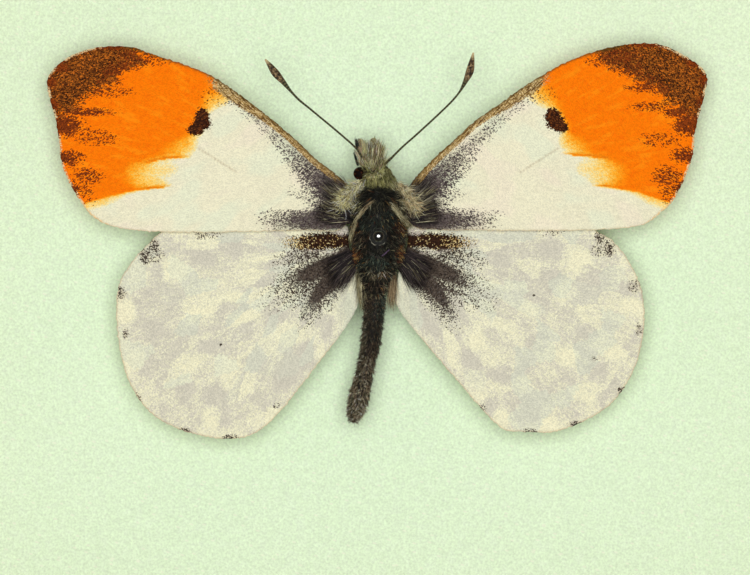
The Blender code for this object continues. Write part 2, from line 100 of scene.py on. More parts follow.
LEFT_FOREWING = [
    (-2.10, 3.50), (-2.95, 4.38), (-4.15, 5.31), (-6.30, 7.28), (-9.08, 9.50), (-11.75, 11.30),
    (-15.35, 12.62), (-17.55, 13.29), (-20.40, 13.02), (-21.90, 12.33), (-22.97, 11.21),
    (-23.05, 10.50), (-22.43, 8.10), (-22.21, 6.59), (-22.00, 5.05), (-21.47, 3.80),
    (-20.64, 2.43), (-19.97, 1.54), (-19.07, 0.98), (-16.75, 0.48), (-5.45, 0.50), (-2.45, 0.70),
]
RIGHT_FOREWING = [
    (2.10, 3.40), (3.22, 4.85), (4.08, 5.70), (5.26, 6.78), (6.41, 7.85), (7.52, 8.67),
    (8.68, 9.45), (9.88, 10.33), (13.43, 12.36), (17.00, 13.38), (19.46, 13.43), (20.83, 12.92),
    (22.70, 11.60), (22.88, 11.05), (22.34, 8.62), (22.00, 7.18), (21.80, 5.52), (20.49, 2.58),
    (19.62, 1.73), (18.61, 0.97), (15.50, 0.55), (6.30, 0.50), (4.00, 0.55), (2.45, 0.80),
]
LEFT_HINDWING = [
    (-2.20, 0.80), (-5.45, 1.10), (-13.10, 0.95), (-14.50, 0.75), (-15.76, -0.20),
    (-17.92, -2.93), (-18.20, -6.10), (-17.40, -9.95), (-15.80, -12.25), (-13.40, -13.50),
    (-10.70, -14.00), (-8.49, -13.56), (-4.31, -8.93), (-1.35, -4.35), (-1.70, -2.20),
    (-2.05, -0.60),
]
RIGHT_HINDWING = [
    (2.20, 0.80), (5.00, 1.10), (14.70, 0.75), (15.40, 0.30), (16.25, -0.20),
    (17.66, -2.04), (18.43, -4.17), (18.42, -6.71), (17.78, -9.20), (16.10, -11.65),
    (12.55, -13.45), (9.80, -13.50), (8.74, -13.36), (5.22, -9.65), (1.35, -4.85),
    (1.10, -4.10), (1.50, -2.20), (2.00, -0.60),
]

# Orange field and dark tip of each forewing.
ORANGE_LEFT = [
    (-10.4, 11.6), (-10.6, 10.3), (-11.0, 9.7), (-11.6, 9.3), (-12.0, 8.9), (-12.2, 8.3),
    (-12.4, 7.6), (-12.9, 7.0), (-13.3, 6.4), (-14.0, 5.7), (-15.6, 5.3), (-16.7, 4.6),
    (-16.7, 3.9), (-15.9, 3.5), (-16.2, 2.0), (-18.0, 1.4), (-21.0, 1.2), (-23.6, 2.6),
    (-24.8, 8.2), (-23.6, 14.6), (-19.4, 15.4), (-13.4, 14.0),
]
ORANGE_RIGHT = [
    (10.5, 11.6), (10.9, 10.4), (11.3, 9.8), (11.9, 9.3), (12.4, 8.9), (12.8, 8.0), (13.0, 7.3),
    (13.1, 6.8), (13.6, 6.2), (14.4, 5.7), (15.5, 5.3), (16.2, 4.6), (16.2, 3.9), (15.7, 3.5),
    (16.2, 2.0), (18.0, 1.4), (21.0, 1.2), (23.8, 2.6), (24.8, 8.2), (23.6, 14.6), (19.6, 15.4),
    (13.3, 14.0),
]
APEX_LEFT = [
    (-17.0, 13.6), (-17.0, 12.8), (-16.6, 12.2), (-17.4, 11.9), (-18.1, 11.6), (-18.5, 11.1),
    (-19.1, 10.7), (-19.7, 10.4), (-19.9, 9.9), (-20.5, 9.5), (-20.9, 9.2), (-21.5, 8.7),
    (-22.2, 8.3), (-23.6, 8.2), (-23.9, 11.0), (-22.2, 13.7), (-19.4, 14.1),
]
APEX_RIGHT = [
    (15.4, 13.6), (15.4, 12.5), (16.3, 11.8), (17.4, 11.4), (18.1, 11.1), (18.9, 10.7),
    (19.7, 10.3), (20.1, 9.7), (20.7, 9.2), (21.3, 8.7), (22.1, 8.2), (23.4, 8.2),
    (23.8, 11.0), (22.4, 13.4), (18.9, 14.1),
]
# Crisp lower edges of the orange, each ending in a point.
BRIGHT_LEFT = [
    [(-12.9, 5.62), (-14.7, 5.52), (-15.5, 5.36), (-17.0, 5.0)],
    [(-14.2, 3.55), (-15.8, 3.42), (-16.8, 3.34), (-17.7, 3.18), (-18.6, 3.0), (-19.4, 2.75), (-20.3, 2.5),
     (-21.6, 2.3)],
]
BRIGHT_RIGHT = [
    [(12.6, 5.8), (13.4, 5.74), (14.5, 5.67), (15.5, 5.57), (16.6, 5.4)],
    [(14.7, 3.6), (16.1, 3.52), (17.1, 3.4), (18.1, 3.24), (19.2, 2.84), (20.2, 2.54), (21.6, 2.3)],
]

# Blobs: (across, up, half width, half height, strength). The orange fades slowly in the yellow ones.
YELLOW_LEFT = [
    (-15.9, 4.4, 2.6, 0.95, 1.0), (-13.8, 6.3, 1.3, 0.8, 0.7), (-11.3, 9.9, 1.4, 1.0, 0.55),
]
YELLOW_RIGHT = [
    (15.4, 4.5, 2.6, 0.95, 1.0), (13.6, 6.5, 1.2, 0.7, 0.6), (11.3, 10.0, 1.4, 1.0, 0.55),
]
FLECKS_LEFT = [
    (-16.6, 12.6, 1.6, 0.6, 0.48), (-15.6, 12.3, 1.2, 0.5, 0.4), (-17.6, 11.9, 1.2, 0.5, 0.45),
    (-18.6, 10.9, 1.0, 0.5, 0.4), (-18.5, 11.5, 0.8, 0.4, 0.7),
    (-17.7, 10.1, 0.8, 0.3, 0.5), (-18.9, 10.1, 1.1, 0.4, 0.55), (-20.2, 8.72, 2.1, 0.3, 0.85),
    (-21.7, 7.8, 1.3, 0.8, 1.0), (-19.7, 6.95, 1.6, 0.6, 0.46), (-20.6, 7.4, 1.0, 0.5, 0.3),
    (-21.4, 5.5, 1.0, 0.6, 0.8), (-20.2, 4.2, 1.1, 0.7, 0.65), (-20.5, 3.3, 0.7, 0.5, 0.55),
    (-18.3, 13.2, 1.7, 0.2, 0.9), (-22.1, 11.9, 0.55, 0.45, 1.0), (-22.9, 10.8, 0.5, 0.45, 1.1),
    (-22.7, 9.2, 0.5, 0.46, 1.1), (-22.3, 7.6, 0.55, 0.6, 1.1), (-22.0, 5.5, 0.5, 0.5, 1.1),
    (-21.2, 3.3, 0.45, 0.5, 1.0), (-11.3, 9.8, 1.3, 0.7, 0.13), (-20.0, 2.5, 0.5, 0.3, 0.3),
]
FLECKS_RIGHT = [
    (16.6, 12.6, 1.6, 0.6, 0.48), (15.6, 12.3, 1.2, 0.5, 0.4), (17.6, 11.7, 1.2, 0.5, 0.45),
    (18.8, 10.9, 1.0, 0.5, 0.4), (18.2, 10.4, 1.2, 0.35, 0.6),
    (19.5, 10.3, 0.9, 0.4, 0.6), (18.9, 9.1, 1.6, 0.3, 0.7), (20.7, 8.7, 1.1, 0.4, 0.8),
    (21.6, 7.8, 1.3, 0.8, 1.0), (19.6, 6.8, 1.6, 0.5, 0.45), (21.2, 5.7, 1.0, 0.6, 0.85),
    (20.1, 4.2, 1.1, 0.8, 0.65), (20.3, 3.2, 0.8, 0.5, 0.55), (18.6, 13.4, 1.7, 0.2, 0.9),
    (21.9, 12.2, 0.55, 0.45, 1.0), (22.8, 11.0, 0.5, 0.45, 1.1), (22.6, 9.4, 0.5, 0.46, 1.1),
    (22.2, 7.7, 0.55, 0.5, 1.1), (21.8, 5.6, 0.5, 0.5, 1.1), (21.0, 3.5, 0.45, 0.5, 1.0),
    (11.3, 9.9, 1.3, 0.7, 0.13), (20.0, 2.6, 0.5, 0.3, 0.3),
]
SPOT_LEFT = [(-12.25, 8.45, 0.6, 0.66, 1.0), (-12.3, 7.9, 0.78, 0.6, 1.0), (-12.72, 7.5, 0.66, 0.5, 1.0)]
SPOT_RIGHT = [(12.1, 8.45, 0.66, 0.66, 1.0), (12.35, 7.95, 0.78, 0.6, 1.0), (12.7, 7.65, 0.6, 0.46, 1.0)]
MARGIN_LEFT = [
    (-15.6, -0.55, 0.4, 0.55, 0.6), (-16.2, -1.3, 0.4, 0.6, 0.6), (-15.4, -1.3, 0.6, 0.5, 0.25),
    (-17.9, -3.9, 0.32, 0.55, 0.55), (-17.6, -6.7, 0.18, 0.35, 0.5), (-16.8, -11.2, 0.32, 0.38, 0.5),
    (-13.6, -13.5, 0.6, 0.28, 0.6), (-10.3, -13.9, 0.56, 0.2, 0.7), (-7.1, -11.7, 0.28, 0.22, 0.4),
    (-11.9, 0.2, 1.1, 0.35, 0.3), (-10.98, -7.48, 0.06, 0.06, 2.0),
]
MARGIN_RIGHT = [
    (15.4, -0.02, 0.4, 0.5, 0.6), (16.05, -0.8, 0.42, 0.6, 0.65), (15.3, -0.9, 0.6, 0.5, 0.28),
    (17.8, -3.4, 0.5, 0.45, 0.36), (17.9, -3.2, 0.3, 0.3, 0.4), (18.1, -6.4, 0.24, 0.4, 0.5),
    (16.9, -10.7, 0.32, 0.32, 0.5), (13.8, -13.0, 0.6, 0.28, 0.6), (10.6, -13.5, 0.56, 0.2, 0.7),
    (15.0, -8.5, 0.18, 0.18, 0.4), (7.2, -11.9, 0.35, 0.28, 0.4), (11.9, 0.4, 1.0, 0.3, 0.22),
    (10.8, -4.0, 0.06, 0.06, 2.0),
]
CREAM_LEFT = [
    (-10.0, -4.1, 0.77, 0.42, 1), (-12.4, -5.5, 1.39, 0.77, 1), (-13.3, -8.7, 1.04, 0.63, 1),
    (-9.6, -5.5, 1.04, 0.42, 1), (-6.2, -6.8, 0.97, 1.04, 1), (-16.8, -8.5, 0.7, 0.84, 1),
    (-11.6, -12.5, 0.7, 0.84, 1), (-14.4, -11.1, 0.7, 0.7, 1), (-10.3, -9.6, 0.84, 1.39, 1),
    (-8.6, -12.5, 0.7, 0.84, 1), (-17.5, -5.2, 0.7, 0.84, 1), (-14.2, -2.3, 1.04, 1.04, 1),
    (-8.9, -1.7, 1.18, 0.84, 0.8),
]
GREY_LEFT = [
    (-12.1, -1.4, 0.97, 0.63, 1), (-9.9, -0.6, 0.49, 0.97, 1), (-11.6, -7.6, 1.11, 0.56, 1),
    (-8.6, -8.7, 0.84, 0.84, 1), (-3.7, -6.1, 0.77, 1.04, 1), (-7.2, -5.5, 0.84, 0.7, 1),
    (-15.4, -2.6, 0.63, 0.97, 1), (-11.4, -11.0, 0.97, 0.84, 1), (-15.6, -6.4, 0.84, 0.84, 1),
    (-6.5, -9.6, 0.84, 1.11, 1), (-5.0, -8.3, 0.9, 1.0, 1),
]
CREAM_RIGHT = [
    (6.5, -6.9, 0.97, 1.04, 1), (7.6, -3.1, 1.04, 0.7, 1), (13.1, -3.7, 0.9, 0.84, 1),
    (10.0, -10.3, 0.84, 0.84, 1), (13.1, -8.3, 0.84, 0.7, 1), (16.5, -8.0, 1.04, 0.56, 1),
    (8.6, -12.5, 0.63, 0.9, 1), (17.5, -4.7, 0.77, 0.63, 1), (14.5, -10.8, 1.04, 0.7, 1),
    (11.9, -13.0, 0.7, 0.56, 1), (14.2, -1.7, 0.84, 1.04, 1), (10.5, -5.0, 0.84, 0.56, 1),
]
GREY_RIGHT = [
    (12.1, -0.7, 0.97, 0.63, 1), (8.6, -2.1, 0.7, 0.97, 1), (12.1, -2.7, 0.84, 0.56, 1),
    (6.2, -8.3, 0.97, 0.7, 1), (11.0, -7.3, 0.97, 0.7, 1), (8.6, -9.4, 0.97, 0.7, 1),
    (15.2, -9.4, 0.97, 0.77, 1), (10.7, -12.0, 0.63, 0.84, 1), (14.5, -6.6, 0.84, 0.63, 1),
    (3.4, -5.9, 0.84, 0.84, 1), (16.1, -6.1, 0.7, 0.56, 1),
]

# Vein paths of the left wings. The right wings have them mirrored.
FOREWING_VEINS = [
    [(-2.4, 3.3), (-7.5, 7.7), (-12.0, 10.4), (-17.5, 12.7)],
    [(-2.6, 3.0), (-8.0, 6.6), (-12.2, 8.6)],
    [(-12.2, 8.6), (-12.7, 7.4), (-12.3, 6.3)],
    [(-12.2, 8.6), (-17.0, 10.9), (-22.2, 10.9)],
    [(-12.2, 8.6), (-17.5, 9.6), (-22.6, 9.4)],
    [(-12.7, 7.4), (-17.5, 7.6), (-22.2, 7.5)],
    [(-12.3, 6.3), (-17.0, 5.8), (-21.9, 5.7)],
    [(-11.0, 5.4), (-15.8, 3.7), (-21.0, 3.3)],
    [(-2.6, 2.4), (-7.0, 3.5), (-12.3, 6.3)],
    [(-8.6, 4.1), (-14.0, 2.6), (-19.3, 1.3)],
    [(-2.6, 1.6), (-9.0, 1.4), (-17.0, 0.9)],
]
HINDWING_VEINS = [
    [(-2.3, 0.0), (-8.0, 0.1), (-14.8, -0.3)],
    [(-2.3, -0.4), (-8.5, -1.6), (-17.2, -2.4)],
    [(-8.5, -1.6), (-13.0, -3.6), (-18.1, -5.4)],
    [(-8.5, -1.6), (-10.0, -3.0), (-9.8, -4.4), (-8.2, -6.4)],
    [(-9.9, -4.2), (-14.0, -6.4), (-17.6, -8.8)],
    [(-9.4, -5.4), (-12.8, -8.8), (-15.9, -12.1)],
    [(-2.2, -0.8), (-5.6, -3.8), (-8.2, -6.4), (-12.9, -13.6)],
    [(-6.2, -4.4), (-8.2, -9.4), (-9.9, -13.8)],
    [(-2.0, -1.2), (-4.6, -6.0), (-6.5, -11.2)],
    [(-1.9, -1.5), (-2.7, -5.0), (-3.9, -8.5)],
]

# Lofted forms: (across, up, height, half width, half depth) from one end to the other.
THORAX = [
    (-0.10, 3.44, 2.50, 0.60, 0.70), (-0.06, 3.14, 2.45, 1.12, 1.20), (-0.02, 2.40, 2.42, 1.52, 1.50),
    (0.00, 1.00, 2.42, 1.78, 1.60), (0.00, -0.50, 2.40, 1.70, 1.58), (-0.08, -1.80, 2.32, 1.36, 1.40),
    (-0.18, -2.70, 2.20, 0.98, 1.15), (-0.24, -3.10, 2.12, 0.62, 0.72),
]
HEAD = [
    (-0.28, 5.14, 2.35, 0.45, 0.50), (-0.29, 4.90, 2.38, 0.84, 0.85), (-0.30, 4.50, 2.42, 1.00, 1.02),
    (-0.24, 4.20, 2.45, 0.88, 0.92), (-0.16, 4.00, 2.48, 0.40, 0.46),
]
ABDOMEN = [
    (-0.25, -3.78, 2.00, 0.55, 0.62), (-0.26, -4.35, 1.98, 0.78, 0.86), (-0.36, -5.74, 1.92, 0.72, 0.84),
    (-0.52, -7.13, 1.86, 0.69, 0.80), (-0.78, -8.53, 1.80, 0.60, 0.74), (-1.08, -9.92, 1.74, 0.64, 0.72),
    (-1.34, -11.00, 1.69, 0.74, 0.72), (-1.54, -11.95, 1.66, 0.64, 0.64), (-1.68, -12.50, 1.63, 0.42, 0.46),
    (-1.76, -12.86, 1.61, 0.18, 0.22),
]
LEFT_PALP = [
    (-0.98, 5.56, 2.30, 0.30, 0.34), (-1.08, 5.90, 2.28, 0.40, 0.44), (-1.20, 6.35, 2.26, 0.34, 0.38),
    (-1.32, 6.78, 2.24, 0.16, 0.18),
]
RIGHT_PALP = [
    (-0.08, 5.56, 2.30, 0.34, 0.38), (-0.14, 5.92, 2.30, 0.44, 0.46), (-0.26, 6.42, 2.28, 0.38, 0.40),
    (-0.38, 6.86, 2.26, 0.18, 0.20),
]
LEFT_TEGULA = [
    (-1.42, 3.72, 2.70, 0.18, 0.20), (-1.90, 3.22, 2.66, 0.38, 0.36), (-2.42, 2.50, 2.62, 0.42, 0.36),
    (-2.82, 1.90, 2.58, 0.16, 0.18),
]
RIGHT_TEGULA = [
    (1.24, 3.72, 2.70, 0.18, 0.20), (1.74, 3.20, 2.66, 0.38, 0.36), (2.30, 2.40, 2.62, 0.42, 0.36),
    (2.68, 1.70, 2.58, 0.16, 0.18),
]
LEFT_ANTENNA = [
    (-0.80, 5.02, 3.24, 0.09, 0.09), (-1.06, 5.42, 3.30, 0.08, 0.08),
    (-1.56, 6.16, 3.30, 0.07, 0.07), (-2.45, 6.98, 3.28, 0.07, 0.07),
    (-4.75, 8.90, 3.22, 0.07, 0.07), (-5.52, 9.53, 3.19, 0.08, 0.08),
    (-6.06, 10.10, 3.16, 0.09, 0.09), (-6.60, 10.76, 3.13, 0.18, 0.15), (-7.12, 11.36, 3.11, 0.27, 0.18),
    (-7.55, 11.94, 3.09, 0.17, 0.14), (-7.84, 12.32, 3.08, 0.06, 0.06),
]
RIGHT_ANTENNA = [
    (0.42, 5.02, 3.24, 0.09, 0.09), (0.97, 5.56, 3.30, 0.08, 0.08),
    (1.61, 6.20, 3.30, 0.07, 0.07), (2.77, 7.23, 3.27, 0.07, 0.07),
    (5.08, 9.42, 3.20, 0.07, 0.07), (5.65, 10.12, 3.17, 0.08, 0.08),
    (6.00, 10.76, 3.13, 0.16, 0.14), (6.33, 11.50, 3.11, 0.27, 0.18),
    (6.46, 12.12, 3.09, 0.20, 0.15), (6.57, 12.78, 3.08, 0.06, 0.06),
]
EYE_RADIUS = 0.46
PIN_HEAD = 0.40
PIN_SHAFT = 0.21
PIN_TOP = 7.6
PIN_TAPER = (-3.2, -3.9, -4.58)
PIN_POINT = -4.6
RING_RADIUS = 0.57
RING_HEIGHT = 3.97
LEFT_EYE = (-1.28, 4.44, 2.42)
RIGHT_EYE = (0.45, 4.40, 2.42)

rng = np.random.default_rng(SEED)


def shade(r, g, b):
    """A colour as it looks on a screen, as linear values."""
    return tuple(((c / 255 + 0.055) / 1.055) ** 2.4 if c > 10 else c / 255 / 12.92 for c in (r, g, b))


def smooth(value, low, high):
    """0 at the low value and 1 at the high one, with a soft change between them."""
    t = np.clip((value - low) / (high - low), 0, 1)
    return t * t * (3 - 2 * t)


def place(points):
    """Insect points as scene points in metres."""
    points = np.asarray(points, dtype=float)
    x = PIN_RIGHT + points[:, 0]
    y = CARD_Y - points[:, 2]
    z = PIN_Z + points[:, 1]
    return np.stack([x, y, z], axis=1) * MM


def spline(stations, each, closed=False):
    """Points along the smooth curve through the stations, with each per span."""
    pts = np.array(stations, dtype=float)
    count = len(pts)
    found = []
    for i in range(count if closed else count - 1):
        if closed:
            p0, p1, p2, p3 = (pts[(i + k) % count] for k in (-1, 0, 1, 2))
        else:
            p1, p2 = pts[i], pts[i + 1]
            p0 = pts[i - 1] if i else 2 * p1 - p2
            p3 = pts[i + 2] if i + 2 < count else 2 * p2 - p1
        d1, d2, d3 = (np.linalg.norm((b - a)[:3]) ** 0.5 for a, b in ((p0, p1), (p1, p2), (p2, p3)))
        pull_1 = 2 * d1 ** 2 + 3 * d1 * d2 + d2 ** 2
        pull_2 = 2 * d3 ** 2 + 3 * d3 * d2 + d2 ** 2
        n1 = (p2 * d1 ** 2 - p0 * d2 ** 2 + p1 * pull_1) / (3 * d1 * (d1 + d2))
        n2 = (p1 * d3 ** 2 - p3 * d2 ** 2 + p2 * pull_2) / (3 * d3 * (d3 + d2))
        steps = each if isinstance(each, int) else max(2, round(math.dist(p1[:2], p2[:2]) / each))
        for k in range(steps):
            s, r = k / steps, 1 - k / steps
            found.append(p1 * r ** 3 + 3 * n1 * r * r * s + 3 * n2 * r * s * s + p2 * s ** 3)
    if not closed:
        found.append(pts[-1])
    return np.array(found)


def path_gap(points, path):
    """Distance of each flat point to a path, and the share of the path's run at the nearest place."""
    a = np.array(path[:-1], dtype=float)
    b = np.array(path[1:], dtype=float)
    ab = b - a
    ap = points[:, None, :] - a[None]
    t = np.clip((ap * ab).sum(-1) / (ab ** 2).sum(-1), 0, 1)
    gap = np.linalg.norm(ap - t[..., None] * ab, axis=-1)
    nearest = gap.argmin(1)
    rows = np.arange(len(points))
    return gap[rows, nearest], (nearest + t[rows, nearest]) / len(a)


def depth_in(points, polygon):
    """How far inside the polygon each flat point lies, negative outside."""
    a = np.array(polygon, dtype=float)
    b = np.roll(a, -1, axis=0)
    found = []
    for some in np.array_split(points, max(1, len(points) // 3000)):
        gap, _ = path_gap(some, np.vstack([a, a[:1]]))
        x, z = some[:, :1], some[:, 1:]
        rise = np.where(b[:, 1] == a[:, 1], 1e-9, b[:, 1] - a[:, 1])
        crossing = (b[:, 0] - a[:, 0]) * (z - a[:, 1]) / rise + a[:, 0]
        inside = (((a[:, 1] > z) != (b[:, 1] > z)) & (x < crossing)).sum(1) % 2 == 1
        found.append(np.where(inside, gap, -gap))
    return np.concatenate(found)


def blobs(points, marks, soft=0.6):
    """Strength of the strongest of the marks at each point, fading towards each rim."""
    best = np.zeros(len(points))
    for x, z, wide, high, strength in marks:
        r = np.hypot((points[:, 0] - x) / wide, (points[:, 1] - z) / high)
        best = np.maximum(best, strength * (1 - smooth(r, 1 - soft, 1 + soft * 0.5)))
    return best


def stroke(points, path):
    """Strength along a path of (across, up, half width, strength), less away from it."""
    rows = np.array(path, dtype=float)
    gap, run = path_gap(points, rows[:, :2])
    at = run * (len(rows) - 1)
    wide = np.interp(at, np.arange(len(rows)), rows[:, 2])
    strength = np.interp(at, np.arange(len(rows)), rows[:, 3])
    return (1 - smooth(gap / wide, 0.3, 1.3)) * strength


def strokes(points, side, paths):
    """The strongest of several paths, given for the right side."""
    return np.max([stroke(points, [(side * x, z, w, k) for x, z, w, k in path]) for path in paths], axis=0)


def veins_at(points, veins, side):
    """Distance of each flat point to the nearest vein."""
    paths = [spline([(side * x, z, 0.0) for x, z in vein], 8)[:, :2] for vein in veins]
    return np.min([path_gap(points, path)[0] for path in paths], axis=0)


def new_mesh(name, verts, faces, finish, nodes, floats=None, tint=None):
    """A piece of the object from insect points, with its attributes and its nodes."""
    mesh = bpy.data.meshes.new(name)
    faces = np.asarray(faces)
    mesh.vertices.add(len(verts))
    mesh.vertices.foreach_set("co", place(verts).ravel())
    mesh.loops.add(faces.size)
    mesh.loops.foreach_set("vertex_index", faces.ravel().astype(np.int32))
    mesh.polygons.add(len(faces))
    mesh.polygons.foreach_set("loop_start", np.arange(len(faces), dtype=np.int32) * faces.shape[1])
    mesh.update(calc_edges=True)
    mesh.validate()
    for key, values in (floats or {}).items():
        mesh.attributes.new(key, "FLOAT", "POINT").data.foreach_set("value", values.astype(np.float32))
    if tint is not None:
        rgba = np.hstack([tint, np.ones((len(tint), 1))]).astype(np.float32)
        mesh.attributes.new("tint", "FLOAT_COLOR", "POINT").data.foreach_set("color", rgba.ravel())
    mesh.materials.append(finish)
    mesh.shade_smooth()
    made = bpy.data.objects.new(name, mesh)
    bpy.context.scene.collection.objects.link(made)
    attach(made, "root")
    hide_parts(*nodes)
    return made


class Finish:
    """A material and short ways to add its nodes. Colours are given as they look on a screen."""

    def __init__(self, name, roughness, specular, metallic=0.0):
        self.made = bpy.data.materials.new(name)
        self.made.use_nodes = True
        self.tree = self.made.node_tree
        self.shader = self.tree.nodes["Principled BSDF"]
        self.shader.inputs["Roughness"].default_value = roughness
        self.shader.inputs["Specular IOR Level"].default_value = specular
        self.shader.inputs["Metallic"].default_value = metallic

    def put(self, socket, value):
        """Links a node's output to the socket, or sets the socket to a number or a colour."""
        if isinstance(value, bpy.types.NodeSocket):
            self.tree.links.new(value, socket)
        elif isinstance(value, tuple):
            socket.default_value = (*shade(*value), 1.0)
        else:
            socket.default_value = value

    def node(self, kind, **settings):
        made = self.tree.nodes.new(kind)
        for key, value in settings.items():
            setattr(made, key, value)
        return made

    def math(self, operation, *values):
        made = self.node("ShaderNodeMath", operation=operation)
        for socket, value in zip(made.inputs, values):
            self.put(socket, value)
        return made.outputs[0]

    def add(self, *values):
        total = values[0]
        for value in values[1:]:
            total = self.math("ADD", total, value)
        return total

    def times(self, a, b):
        return self.math("MULTIPLY", a, b)

    def scaled(self, value, factor, start):
        """The value times a factor, plus a start."""
        return self.math("MULTIPLY_ADD", value, factor, start)

    def below(self, value, limit):
        """1 where the value is below the limit, and 0 elsewhere."""
        return self.math("LESS_THAN", value, limit)

    def rest(self, value):
        """What the value lacks to 1."""
        return self.math("SUBTRACT", 1.0, value)

    def swing(self, value, reach):
        """A 0 to 1 value as a plus or minus one."""
        return self.scaled(value, 2 * reach, -reach)

    def attribute(self, name):
        return self.node("ShaderNodeAttribute", attribute_name=name).outputs["Fac"]

    def tint(self):
        return self.node("ShaderNodeAttribute", attribute_name="tint").outputs["Color"]

    def position(self, scale=(1.0, 1.0, 1.0)):
        """Object coordinates in millimetres, scaled."""
        made = self.node("ShaderNodeMapping")
        self.put(made.inputs["Vector"], self.node("ShaderNodeTexCoord").outputs["Object"])
        made.inputs["Scale"].default_value = [share / MM for share in scale]
        return made.outputs[0]

    def joined(self, x, y):
        made = self.node("ShaderNodeCombineXYZ")
        self.put(made.inputs[0], x)
        self.put(made.inputs[1], y)
        return made.outputs[0]

    def flat(self, turn, scale):
        """The front view's plane in millimetres, turned and scaled, for flat textures."""
        parts = self.node("ShaderNodeSeparateXYZ")
        self.put(parts.inputs[0], self.node("ShaderNodeTexCoord").outputs["Object"])
        turned = self.node("ShaderNodeMapping")
        across, up = (self.times(parts.outputs[k], 1 / MM) for k in (0, 2))
        self.put(turned.inputs["Vector"], self.joined(across, up))
        turned.inputs["Rotation"].default_value = (0.0, 0.0, turn)
        made = self.node("ShaderNodeMapping")
        self.put(made.inputs["Vector"], turned.outputs[0])
        made.inputs["Scale"].default_value = (*scale, 1.0)
        return made.outputs[0]

    def rays(self, along, across):
        """Coordinates that run out from the wing's root, for streaks."""
        return self.joined(self.times(self.attribute("reach"), along),
                           self.times(self.attribute("ray"), across))

    def noise(self, vector, scale=1.0, detail=2.0, rough=0.5, warp=0.0, flat=False):
        made = self.node("ShaderNodeTexNoise", noise_dimensions="2D" if flat else "3D")
        self.put(made.inputs["Vector"], vector)
        for key, value in (("Scale", scale), ("Detail", detail), ("Roughness", rough), ("Distortion", warp)):
            made.inputs[key].default_value = value
        return made.outputs["Fac"]

    def shaken(self, vector, reach):
        """Coordinates with a small random shift, for broken edges."""
        noise = self.node("ShaderNodeTexNoise", noise_dimensions="2D")
        self.put(noise.inputs["Vector"], vector)
        noise.inputs["Scale"].default_value = 5.0
        noise.inputs["Detail"].default_value = 4.0
        moved = self.node("ShaderNodeVectorMath", operation="MULTIPLY_ADD")
        self.put(moved.inputs[0], noise.outputs["Color"])
        moved.inputs[1].default_value = (reach * 2, reach * 2, 0.0)
        self.put(moved.inputs[2], vector)
        return moved.outputs[0]

    def cells(self, vector, jitter=1.0, flat=True):
        """Three random numbers for each cell, and the distance to the cell's middle."""
        made = self.node("ShaderNodeTexVoronoi", voronoi_dimensions="2D" if flat else "3D")
        self.put(made.inputs["Vector"], vector)
        made.inputs["Scale"].default_value = 1.0
        made.inputs["Randomness"].default_value = jitter
        parts = self.node("ShaderNodeSeparateColor")
        self.put(parts.inputs[0], made.outputs["Color"])
        return (*parts.outputs[:3], made.outputs["Distance"])

    def ramp(self, value, stops):
        made = self.node("ShaderNodeValToRGB")
        self.put(made.inputs[0], value)
        line = made.color_ramp.elements
        while len(line) < len(stops):
            line.new(1.0)
        for element, (at, colour) in zip(line, stops):
            element.position = at
            element.color = (*shade(*colour), 1.0)
        return made.outputs[0]

    def between(self, value, low, high):
        """0 at the low value and 1 at the high one, with a soft change between them."""
        made = self.node("ShaderNodeMapRange", interpolation_type="SMOOTHSTEP", clamp=True)
        for socket, number in zip(made.inputs[:3], (value, low, high)):
            self.put(socket, number)
        return made.outputs[0]

    def mix(self, share, a, b):
        made = self.node("ShaderNodeMix", data_type="RGBA", clamp_factor=True)
        self.put(made.inputs[0], share)
        self.put(made.inputs[6], a)
        self.put(made.inputs[7], b)
        return made.outputs[2]

    def lay(self, colour, share, strength, over):
        """The colour with another laid over it, by the share times the strength."""
        return self.mix(self.times(share, strength), colour, over)

    def level(self, colour, factor):
        """The colour made lighter or darker."""
        made = self.node("ShaderNodeVectorMath", operation="SCALE")
        self.put(made.inputs[0], colour)
        self.put(made.inputs["Scale"], factor)
        return made.outputs[0]

    def bump(self, height, depth_mm, strength):
        made = self.node("ShaderNodeBump")
        made.inputs["Strength"].default_value = strength
        made.inputs["Distance"].default_value = depth_mm * MM
        self.put(made.inputs["Height"], height)
        self.put(self.shader.inputs["Normal"], made.outputs[0])

    def done(self, colour, roughness=None):
        self.put(self.shader.inputs["Base Color"], colour)
        if roughness is not None:
            self.put(self.shader.inputs["Roughness"], roughness)
        return self.made


